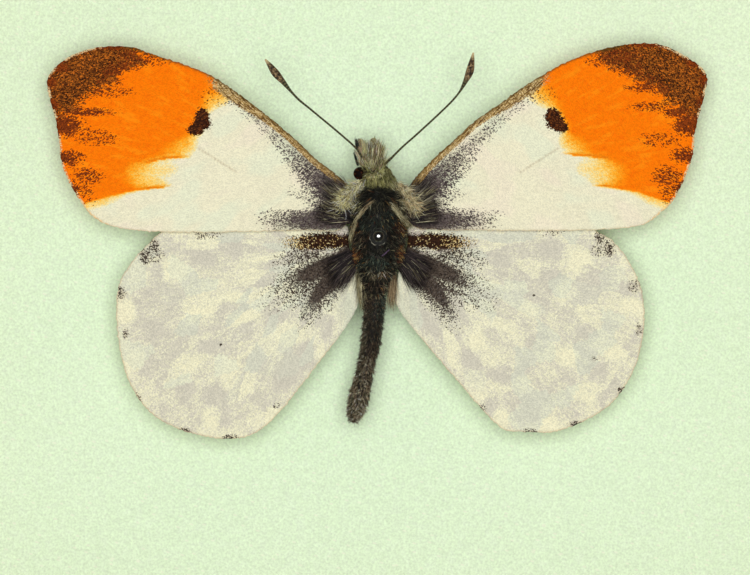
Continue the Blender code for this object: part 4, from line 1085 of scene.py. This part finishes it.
def bundle(path, count, spread, length, tone, level, radius):
    """Strands that lie along a path of (across, up, height)."""
    line = spline(path, 10)
    i = rng.integers(0, len(line) - 3, count)
    step = line[i + 2] - line[i]
    step /= np.linalg.norm(step, axis=1)[:, None]
    points = line[i] + rng.normal(0, 1, (count, 3)) * np.array([spread, spread * 0.7, spread * 0.5])
    return hairs(points, step, step, length, radius, pick(tone, count) * level, 0.06, 0.85)


def build_thorax(finish):
    body = [NECK] + THORAX[1:-1] + [WAIST]
    points, out, _, _ = roots_on(body, THORAX_HAIRS)
    x, z = points[:, 0], points[:, 1]
    side = np.sign(x)
    n = len(x)
    tint = toned(points, DARK_HAIR, THORAX_TONES)
    spark = rng.random(n) < 0.045
    tint[spark] = pick(DULL_HAIR + RED_HAIR, spark.sum()) * 0.9
    flow = np.column_stack([0.45 * side * smooth(np.abs(x), 0.2, 1.4), -np.ones(n), 0.1 * np.ones(n)])
    front = z > 2.5
    flow[front] = np.column_stack([1.3 * side[front] * smooth(np.abs(x[front]), 0.0, 0.9),
                                   -0.5 * np.ones(front.sum()), 0.3 * np.ones(front.sum())])
    keep = np.hypot(x, z) > 0.6
    length = np.where((z > 2.0) & (z < 3.2), 0.75, 0.5)
    parts = [plain(skin(body, 0.9, 40, 8), (24, 24, 20))]
    parts.append(hairs(points[keep], out[keep], flow[keep], length[keep], 0.017, tint[keep], 0.24,
                       clump=0.45))
    parts.append(collar_ring())
    parts += [bundle(*strands) for strands in THORAX_STRANDS]
    for side in (-1, 1):
        parts += wing_hairs(side)
    furry("thorax", ["thorax"], parts, finish)


def wing_hairs(side):
    """Hairs that lie on the wing bases and run outward from the body."""
    parts = []
    waist_tone, waist_x = (DULL_HAIR, (1.05, 1.45)) if side < 0 else (TAN_HAIR, (0.7, 1.15))
    for count, across, up, height, low, high, length, tone, level in (
        (460, (1.5, 2.6), (1.0, 1.9), 2.45, 2, 16, 1.7, DUSK_HAIR, 0.75),
        (260, (1.7, 3.0), (1.9, 3.3), 2.45, 22, 50, 1.3, DUSK_HAIR + [(146, 138, 124), (92, 92, 80)], 0.9),
        (120, (2.0, 3.2), (1.0, 3.0), 2.55, 8, 42, 1.1, DULL_HAIR, 0.8),
        (560, (1.3, 2.3), (-2.1, -0.9), 2.15, -60, -26, 1.8, DUSK_HAIR, 0.75),
        (40, (1.5, 2.8), (-2.6, -1.2), 2.2, -60, -28, 1.0, DULL_HAIR, 0.6),
        (170, waist_x, (-3.6, -2.0), 2.2, -94, -84, 1.5, waist_tone, 0.75),
    ):
        x = side * rng.uniform(*across, count)
        z = rng.uniform(*up, count)
        share = (z - up[0]) / (up[1] - up[0])
        angle = np.radians(low + (high - low) * share + rng.normal(0, 6, count))
        flow = np.column_stack([side * np.cos(angle), np.sin(angle), np.full(count, -0.05)])
        points = np.column_stack([x, z, height + rng.uniform(-0.1, 0.25, count)])
        tint = pick(tone, count) * level
        parts.append(hairs(points, flow + (0, 0, 0.15), flow, length, 0.016, tint, 0.06, 0.9))
    return parts


def collar_ring():
    """A low, broken ring of skin round the pin."""
    turns, around = 64, 8
    turn = np.arange(turns) * 2 * np.pi / turns
    ring = np.arange(around) * 2 * np.pi / around
    lower = 0.5 - 0.5 * np.sin(turn)
    rough = np.convolve(np.tile(rng.normal(0, 1.5, turns), 3), np.ones(3) / 3, "same")[turns:2 * turns]
    radius = RING_RADIUS + 0.03 * np.cos(ring)[None] + 0.03 * rough[:, None]
    height = RING_HEIGHT + 0.04 * np.sin(ring)[None] + (0.05 * lower + 0.04 * rough)[:, None]
    verts = np.stack([radius * np.cos(turn)[:, None], radius * np.sin(turn)[:, None], height], axis=2)
    faces = []
    for i in range(turns):
        for k in range(around):
            a, b = i * around + k, i * around + (k + 1) % around
            c, d = ((i + 1) % turns) * around + (k + 1) % around, ((i + 1) % turns) * around + k
            faces += [(a, c, b), (a, d, c)]
    # Painted highlight: the ring is lighter along its lower arc, on top of its patchy tone.
    bright = (0.3 + 0.6 * lower ** 2) * np.clip(1 + 1.3 * rough, 0.1, 2.4)
    tints = np.array(shade(112, 110, 98)) * np.repeat(bright, around)[:, None]
    return verts.reshape(-1, 3), np.array(faces), tints


def build_head(finish):
    points, out, _, _ = roots_on(HEAD, HEAD_HAIRS, 0.86)
    x, z = points[:, 0] + 0.29, points[:, 1]
    n = len(x)
    back = smooth(z, 4.75, 4.3)
    flow = np.column_stack([(0.2 + 0.7 * back) * x, 1.0 - 1.7 * back, np.full(n, 0.15)])
    length = np.where(z > 4.6, 0.9, 0.55)
    right = (x > 0.5) & (z > 4.35)
    length[right] = 0.34
    flow[right] = (0.08, -1.0, 0.1)
    clear = np.hypot(points[:, 0] - LEFT_EYE[0], points[:, 1] - LEFT_EYE[1]) > 0.56
    tint = 1.75 * toned(points, GREY_HAIR, HEAD_TONES)
    parts = [plain(skin(HEAD, 0.84, 32, 8), (46, 42, 28))]
    out[:, 0] *= np.where(right, 0.2, 0.5)
    parts.append(hairs(points[clear], out[clear], flow[clear], length[clear], 0.016, tint[clear], 0.2,
                       clump=0.25))
    parts += build_tuft()
    parts += build_nape()
    furry("head", ["head"], parts, finish)


def build_tuft():
    """The tuft between the palps, the bristles beside the left one, and the hair over the right eye."""
    parts = []
    count = 1500
    roots = scatter(count, (-1.15, 0.32), (4.7, 5.35), (2.3, 2.85))
    off = roots[:, 0] + 0.55
    up = np.column_stack([0.12 * off + rng.normal(0, 0.05, count), np.ones(count),
                          rng.normal(0, 0.05, count)])
    reach = 1.24 - 0.24 * np.abs(off) + rng.normal(0, 0.16, count)
    tint = 2.1 * toned(roots, GREY_HAIR, HEAD_TONES[4:])
    parts.append(hairs(roots, up, up, reach, 0.013, tint, 0.1, 0.6, clump=0.16))
    count = 420
    roots = scatter(count, (-1.1, -0.4), (5.4, 5.9), (2.3, 2.6))
    up = np.column_stack([rng.normal(0, 0.06, count), np.ones(count), np.zeros(count)])
    reach = 0.62 + 0.35 * (roots[:, 0] + 1.1)
    tint = 1.7 * toned(roots, GREY_HAIR, [])
    parts.append(hairs(roots, up, up, reach, 0.013, tint, 0.12, 0.6, clump=0.16))
    parts.append(bundle([(-1.66, 6.15, 3.05), (-1.2, 5.45, 3.1), (-0.92, 5.0, 3.1)], 70, 0.07, 0.4,
                        [(232, 216, 188), (206, 184, 154), (150, 122, 96)], 1.0, 0.012))
    for root, lean, reach in (((-1.42, 5.05), -0.3, 0.75), ((-1.45, 6.25), -0.22, 0.5)):
        roots = np.array([*root, 2.5]) + rng.normal(0, 0.05, (60, 3))
        flow = np.array([(lean, 1.0, 0.0)])
        tint = pick(TEAL_HAIR, 60) * 0.6
        parts.append(hairs(roots, flow, flow, reach, 0.017, tint, 0.03, 0.8))
    count = 420
    roots = scatter(count, (0.05, 0.6), (4.2, 4.95), (2.75, 3.0))
    flow = np.column_stack([rng.uniform(0.1, 0.5, count), rng.uniform(-1.0, -0.4, count),
                            np.full(count, 0.02)])
    tint = pick(OLIVE_HAIR, count) * 0.85
    parts.append(hairs(roots, flow, flow, 0.42, 0.015, tint, 0.1, clump=0.1))
    return parts


def build_nape():
    """Hair that runs from the head over the front of the thorax and out to the shoulders."""
    parts = []
    for count, across, up, slope, flow, tone, level in (
        (420, (-1.66, -0.95), (3.45, 4.05), 0.0, (-0.25, -1.0, 0.0), CREAM_HAIR, 1.9),
        (620, (-1.1, 0.35), (3.75, 4.3), 0.0, (-0.1, -1.0, 0.1), OLIVE_HAIR, 1.3),
        (260, (0.42, 0.86), (4.5, 5.0), -0.7, (0.45, -1.0, 0.0), OLIVE_HAIR, 0.6),
        (420, (0.2, 1.1), (3.7, 4.3), 0.0, (0.4, -1.0, 0.1), OLIVE_HAIR, 0.95),
        (420, (0.6, 1.55), (3.6, 4.2), -0.45, (0.7, -0.7, 0.0), OLIVE_HAIR + DULL_HAIR, 0.95),
    ):
        x = rng.uniform(*across, count)
        z = rng.uniform(*up, count) + slope * (x - across[0])
        height = 3.3 - 0.36 * x ** 2 + rng.uniform(-0.2, 0.1, count)
        points = np.column_stack([x, z, height])
        start = np.tile(np.array(flow) + (0, 0, 0.2), (count, 1))
        tint = toned(points, tone, []) * level
        parts.append(hairs(points, start, np.array(flow), 0.5, 0.015, tint, 0.14, 0.6, clump=0.3))
    return parts


def build_palp(name, stations, finish):
    points, out, along, run = roots_on(stations, PALP_HAIRS, 0.5, 0.7)
    n = len(points)
    tint = toned(points, GREY_HAIR, [(-1.15, 5.7, 0.45, 0.6, 0.55, PINK_HAIR, 1.0)]) * 1.6
    dark = (points[:, 0] < -1.3) & (rng.random(n) < 0.5)
    tint[dark] = pick(DARK_HAIR, dark.sum())
    flow = along * 1.2 + np.column_stack([0.3 * (points[:, 0] + 1.15), np.zeros(n), np.zeros(n)])
    length = (0.24 + 0.4 * rng.random(n) ** 2) * (1 - 0.7 * smooth(run, 0.45, 0.95))
    parts = [plain(skin(stations, 0.4, 20, 6), (60, 52, 36))]
    parts.append(hairs(points, out * 0.35 + along * 0.6, flow, length, 0.013, tint, 0.14, 0.6, clump=0.25))
    furry(name, [name], parts, finish)


def build_tegula(name, stations, side, tone, finish):
    points, out, _, run = roots_on(stations, TEGULA_HAIRS, 0.6, 0.8)
    n = len(points)
    angle = -0.7 - 0.4 * run + rng.normal(0, 0.2, n)
    flow = np.column_stack([side * np.cos(angle), np.sin(angle), np.full(n, 0.0)])
    length = 0.3 + 0.7 * rng.random(n) ** 2
    parts = [plain(skin(stations, 0.5, 20, 6), (104, 92, 56))]
    parts.append(hairs(points, out * 0.5, flow, length, 0.014, pick(tone, n) * 1.5, 0.25, 0.6, clump=0.5))
    furry(name, [name], parts, finish)


def build_abdomen(finish):
    points, out, along, _ = roots_on(ABDOMEN, ABDOMEN_HAIRS, 0.76)
    flow = along + out * 0.12
    parts = [plain(skin(ABDOMEN, 0.78, 32, 8), (34, 28, 22))]
    fade = 1.35 - 0.65 * smooth(points[:, 1], -10.5, -7.0)
    tint = toned(points, BROWN_HAIR, ABDOMEN_TONES) * fade[:, None]
    parts.append(hairs(points, out, flow, 0.34, 0.015, tint, 0.26, 0.6, clump=0.4))
    furry("abdomen", ["abdomen"], parts, finish)


def turned_form(profile, top, bottom, turns):
    """A closed form turned round the height axis, from its (radius, height) rings and its two poles."""
    angles = [2 * math.pi * k / turns for k in range(turns)]
    rings = [(radius * math.cos(a), radius * math.sin(a), height)
             for radius, height in profile for a in angles]
    verts = np.array([(0.0, 0.0, top), *rings, (0.0, 0.0, bottom)])
    faces = []
    for k in range(turns):
        j = (k + 1) % turns
        faces.append((0, 1 + k, 1 + j))
        for i in range(len(profile) - 1):
            a, b = 1 + i * turns + k, 1 + i * turns + j
            faces += [(a, a + turns, b + turns), (a, b + turns, b)]
        last = 1 + (len(profile) - 1) * turns
        faces.append((last + k, len(verts) - 1, last + j))
    return verts, faces


def build_eye(name, centre, finish):
    """A smooth ball with fine facets in its finish."""
    rows = 24
    angles = [math.pi * i / rows for i in range(1, rows)]
    profile = [(EYE_RADIUS * math.sin(a), EYE_RADIUS * math.cos(a)) for a in angles]
    verts, faces = turned_form(profile, EYE_RADIUS, -EYE_RADIUS, 40)
    new_mesh(name, verts + np.array(centre), faces, finish, [name])


def eye_finish():
    f = Finish("eye facets", 0.6, 0.06)
    r, _, _, middle = f.cells(f.position((22.0, 22.0, 22.0)), 0.3, flat=False)
    blotch = f.noise(f.position(), 5.0, 3.0, 0.7)
    colour = f.ramp(blotch, [(0.40, (9, 6, 5)), (0.54, (30, 13, 8)), (0.68, (92, 56, 30))])
    colour = f.level(colour, f.scaled(r, 0.4, 0.8))
    f.bump(f.times(middle, -1.0), 0.02, 0.6)
    return f.done(colour)


def build_antenna(name, stations, finish):
    verts, faces = skin(stations, 1.0, 20, 26)
    rows = spline(stations, 26)
    step = np.linalg.norm(np.diff(rows[:, :3], axis=0), axis=1)
    run = np.concatenate([[0], np.cumsum(step)])
    run = np.concatenate([np.repeat(run, 20), [0, run[-1]]])
    tip = smooth(run, run.max() - 0.55, run.max() - 0.1)
    club = smooth(run, run.max() - 2.3, run.max() - 1.7)
    new_mesh(name, verts, faces, finish, [name], {"run": run, "tip": tip, "club": club})


def antenna_finish():
    f = Finish("ringed shaft", 0.65, 0.2)
    band = f.math("PINGPONG", f.attribute("run"), 0.11)
    ring = f.between(band, 0.03, 0.08)
    grain = f.noise(f.position(), 6.0, 3.0, 0.65)
    shaft = f.mix(ring, (32, 30, 18), (92, 88, 58))
    club = f.ramp(grain, [(0.40, (34, 27, 20)), (0.52, (88, 68, 46)), (0.62, (152, 128, 92))])
    colour = f.mix(f.attribute("club"), shaft, club)
    colour = f.lay(colour, f.attribute("tip"), 0.8, (206, 184, 140))
    colour = f.level(colour, f.scaled(grain, 0.6, 0.7))
    f.bump(f.add(ring, grain), 0.02, 0.6)
    return f.done(colour)


def build_pin(finish):
    """The pin's turned form, from the top of its head to its point in the foam."""
    crown = PIN_TOP - PIN_HEAD
    arc = [math.radians(a) for a in range(3, 148, 5)]
    profile = [(PIN_HEAD * math.sin(a), crown + PIN_HEAD * math.cos(a)) for a in arc]
    profile.append((PIN_SHAFT, crown - PIN_HEAD))
    profile += zip((PIN_SHAFT, PIN_SHAFT * 0.6, 0.02), PIN_TAPER)
    verts, faces = turned_form(profile, PIN_TOP, PIN_POINT, 48)
    # A painted highlight: a small bright spot on the crown of the head.
    painted_glint = (1 - smooth(np.hypot(verts[:, 0], verts[:, 1]), 0.07, 0.13)) * (verts[:, 2] > crown)
    new_mesh("insect_pin", verts, faces, finish, ["insect_pin"], {"painted_glint": painted_glint})


def pin_finish():
    """Black lacquer, with a painted highlight on the crown: a spot of bright metal that stands for the
    lamp's glint.
    """
    f = Finish("black pin", 0.1, 0.3)
    wear = f.noise(f.position((1.0, 0.4, 1.0)), 6.0, 3.0, 0.6)
    colour = f.ramp(wear, [(0.35, (14, 13, 13)), (0.7, (28, 26, 26))])
    painted_glint = f.between(f.add(f.attribute("painted_glint"), f.swing(wear, 0.3)), 0.35, 0.6)
    f.put(f.shader.inputs["Metallic"], painted_glint)
    f.bump(f.noise(f.position(), 9.0, 2.0), 0.004, 0.3)
    return f.done(f.mix(painted_glint, colour, (240, 240, 238)), f.scaled(wear, 0.14, 0.05))


def card_finish():
    f = Finish("pale green card", 0.9, 0.1)
    broad = f.noise(f.position(), 0.05, 3.0)
    fibre = f.noise(f.position((1.6, 1.6, 1.6)), 1.0, 5.0, 0.68, 0.8)
    fine = f.noise(f.position(), 6.0, 3.0, 0.65)
    colour = f.mix(f.between(broad, 0.35, 0.65), (221, 241, 207), (224, 243, 210))
    colour = f.lay(colour, f.between(fibre, 0.4, 0.7), 0.5, (226, 242, 216))
    colour = f.level(colour, f.scaled(fine, 0.66, 0.67))
    r, _, _, middle = f.cells(f.flat(0.3, (1.1, 2.6)))
    fleck = f.times(f.below(middle, 0.16), f.below(r, 0.22))
    colour = f.lay(colour, fleck, 0.45, (240, 244, 222))
    f.bump(f.add(fibre, f.times(fine, 0.7)), 0.05, 0.35)
    return f.done(colour)


def wood_finish(name, along_x):
    f = Finish(name, 0.5, 0.35)
    scale = (0.06, 0.9, 0.9) if along_x else (0.9, 0.9, 0.06)
    warp = f.noise(f.position(scale), 0.5, 3.0, 0.5, 0.6)
    grain = f.noise(f.position(scale), 2.4, 5.0, 0.62, 1.2)
    pores = f.noise(f.position((0.18, 5.0, 5.0) if along_x else (5.0, 5.0, 0.18)), 1.6, 3.0, 0.6)
    colour = f.ramp(f.add(f.times(grain, 0.6), f.times(warp, 0.4)), [
        (0.34, (150, 112, 70)), (0.46, (184, 146, 98)), (0.56, (204, 168, 118)),
        (0.68, (172, 134, 88)),
    ])
    line = f.between(pores, 0.60, 0.68)
    colour = f.lay(colour, line, 0.7, (104, 72, 42))
    f.bump(f.add(grain, f.times(line, -0.8)), 0.12, 0.3)
    return f.done(colour, f.scaled(grain, 0.25, 0.38))


def foam_finish():
    f = Finish("white foam", 0.8, 0.2)
    r, _, _, middle = f.cells(f.position((1.4, 1.4, 1.4)), flat=False)
    colour = f.level(f.mix(r, (236, 236, 231), (226, 226, 222)),
                     f.scaled(f.noise(f.position(), 2.0, 3.0), 0.1, 0.94))
    f.bump(f.times(middle, -1.0), 0.15, 0.5)
    return f.done(colour)


def board_finish():
    f = Finish("hardboard", 0.7, 0.2)
    weave = f.noise(f.position(), 1.6, 6.0, 0.7, 0.6)
    fleck = f.noise(f.position((0.5, 1.0, 2.4)), 1.5, 3.0, 0.6)
    colour = f.ramp(weave, [(0.32, (92, 62, 38)), (0.5, (124, 88, 56)), (0.7, (150, 112, 76))])
    colour = f.lay(colour, f.between(fleck, 0.55, 0.72), 0.5, (176, 140, 98))
    f.bump(weave, 0.12, 0.5)
    return f.done(colour)


def metal_finish(name, low, high, roughness):
    f = Finish(name, roughness, 0.5, 1.0)
    wear = f.noise(f.position((1.0, 1.0, 0.3)), 2.2, 5.0, 0.65)
    colour = f.ramp(wear, [(0.34, low), (0.66, high)])
    f.bump(f.noise(f.position((3.0, 3.0, 0.6)), 2.0, 3.0), 0.01, 0.35)
    return f.done(colour, f.scaled(wear, 0.3, roughness - 0.12))


def leg_finish():
    f = Finish("leg skin", 0.5, 0.35)
    grain = f.noise(f.position(), 7.0, 4.0, 0.6)
    colour = f.ramp(grain, [(0.36, (46, 36, 26)), (0.66, (98, 82, 58))])
    f.bump(grain, 0.03, 0.5)
    return f.done(colour)


def repaint(finish, *nodes):
    """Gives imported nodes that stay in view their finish."""
    for node in nodes:
        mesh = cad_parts[node].data
        mesh.materials.clear()
        mesh.materials.append(finish)


def build_insect():
    wings = (
        ("forewing", (LEFT_FOREWING, RIGHT_FOREWING), FOREWING_HEIGHT, FOREWING_VEINS, FOREWING_ROOT,
         forewing_finish, FOREWING_TURN, paint_forewing),
        ("hindwing", (LEFT_HINDWING, RIGHT_HINDWING), HINDWING_HEIGHT, HINDWING_VEINS, HINDWING_ROOT,
         hindwing_finish, HINDWING_TURN, paint_hindwing),
    )
    for slot, outlines, height, veins, root, finish, turn, paint in wings:
        for word, side, outline in zip(("left", "right"), (-1, 1), outlines):
            scales = finish(f"{word} {slot} scales", side * turn)
            wing(f"{slot}_{word}", outline, height, side, veins, root, scales, paint)
    hair = hair_finish()
    build_thorax(hair)
    build_head(hair)
    build_abdomen(hair)
    build_palp("palp_left", LEFT_PALP, hair)
    build_palp("palp_right", RIGHT_PALP, hair)
    build_tegula("tegula_left", LEFT_TEGULA, -1, CREAM_HAIR, hair)
    build_tegula("tegula_right", RIGHT_TEGULA, 1, DULL_HAIR + TAN_HAIR[:2], hair)
    facets = eye_finish()
    build_eye("eye_left", LEFT_EYE, facets)
    build_eye("eye_right", RIGHT_EYE, facets)
    shaft = antenna_finish()
    build_antenna("antenna_left", LEFT_ANTENNA, shaft)
    build_antenna("antenna_right", RIGHT_ANTENNA, shaft)
    build_pin(pin_finish())


def build_frame_finishes():
    along_x = wood_finish("oak along", True)
    upright = wood_finish("oak upright", False)
    repaint(along_x, "frame_top", "frame_bottom")
    repaint(upright, "frame_left", "frame_right")
    repaint(card_finish(), "backing_card")
    repaint(foam_finish(), "foam_board")
    repaint(board_finish(), "back_panel")
    steel = metal_finish("dull steel", (120, 120, 120), (176, 176, 178), 0.4)
    repaint(steel, *[f"framers_point_{k}" for k in range(1, 7)], "hanger_nail_1", "hanger_nail_2")
    repaint(metal_finish("brassed steel", (160, 130, 76), (210, 182, 120), 0.35), "hanger")
    legs = [f"leg_{where}_{side}" for where in ("front", "middle", "rear") for side in ("left", "right")]
    repaint(leg_finish(), *legs)


def build_stage():
    """A pale floor, a broad soft light round the camera's axis, and the camera square to the card."""
    half = FLOOR_WIDE / 2 * MM
    mesh = bpy.data.meshes.new("floor")
    corners = [(x * half, y * half, 0) for x, y in ((-1, -1), (1, -1), (1, 1), (-1, 1))]
    mesh.from_pydata(corners, [], [(0, 1, 2, 3)])
    floor = bpy.data.objects.new("floor", mesh)
    bpy.context.scene.collection.objects.link(floor)
    f = Finish("pale floor", 0.8, 0.2)
    cloudy = f.noise(f.position(), 0.02, 2.0)
    mesh.materials.append(f.done(f.mix(cloudy, (206.4, 206.4, 203.4), (212.2, 212.2, 209.4))))
    floor.visible_shadow = False

    light = bpy.data.lights.new("soft light", "AREA")
    light.shape = "SQUARE"
    light.size = LIGHT_WIDE * MM
    light.energy = LIGHT_WATTS
    lamp = bpy.data.objects.new("soft light", light)
    lamp.location = (0.0, (CARD_Y - LIGHT_AWAY) * MM, (MIDDLE_Z + LIGHT_LIFT) * MM)
    aim = Vector((0.0, CARD_Y * MM, MIDDLE_Z * MM)) - lamp.location
    lamp.rotation_euler = aim.to_track_quat("-Z", "Y").to_euler()
    bpy.context.scene.collection.objects.link(lamp)

    world = bpy.data.worlds.new("room")
    world.use_nodes = True
    world.node_tree.nodes["Background"].inputs[0].default_value = (0.86, 0.93, 0.82, 1.0)
    world.node_tree.nodes["Background"].inputs[1].default_value = 0.18
    bpy.context.scene.world = world

    lens = bpy.data.cameras.new("camera")
    lens.sensor_width = SENSOR
    lens.lens = SENSOR * CAMERA_AWAY / VIEW_WIDE
    lens.clip_start = 0.01
    camera = bpy.data.objects.new("camera", lens)
    camera.location = (0.0, (CARD_Y - FOCUS_HEIGHT - CAMERA_AWAY) * MM, MIDDLE_Z * MM)
    camera.rotation_euler = (math.pi / 2, 0.0, 0.0)
    bpy.context.scene.collection.objects.link(camera)
    bpy.context.scene.camera = camera
    bpy.context.scene.view_settings.view_transform = "Standard"


build_frame_finishes()
build_insect()
build_stage()
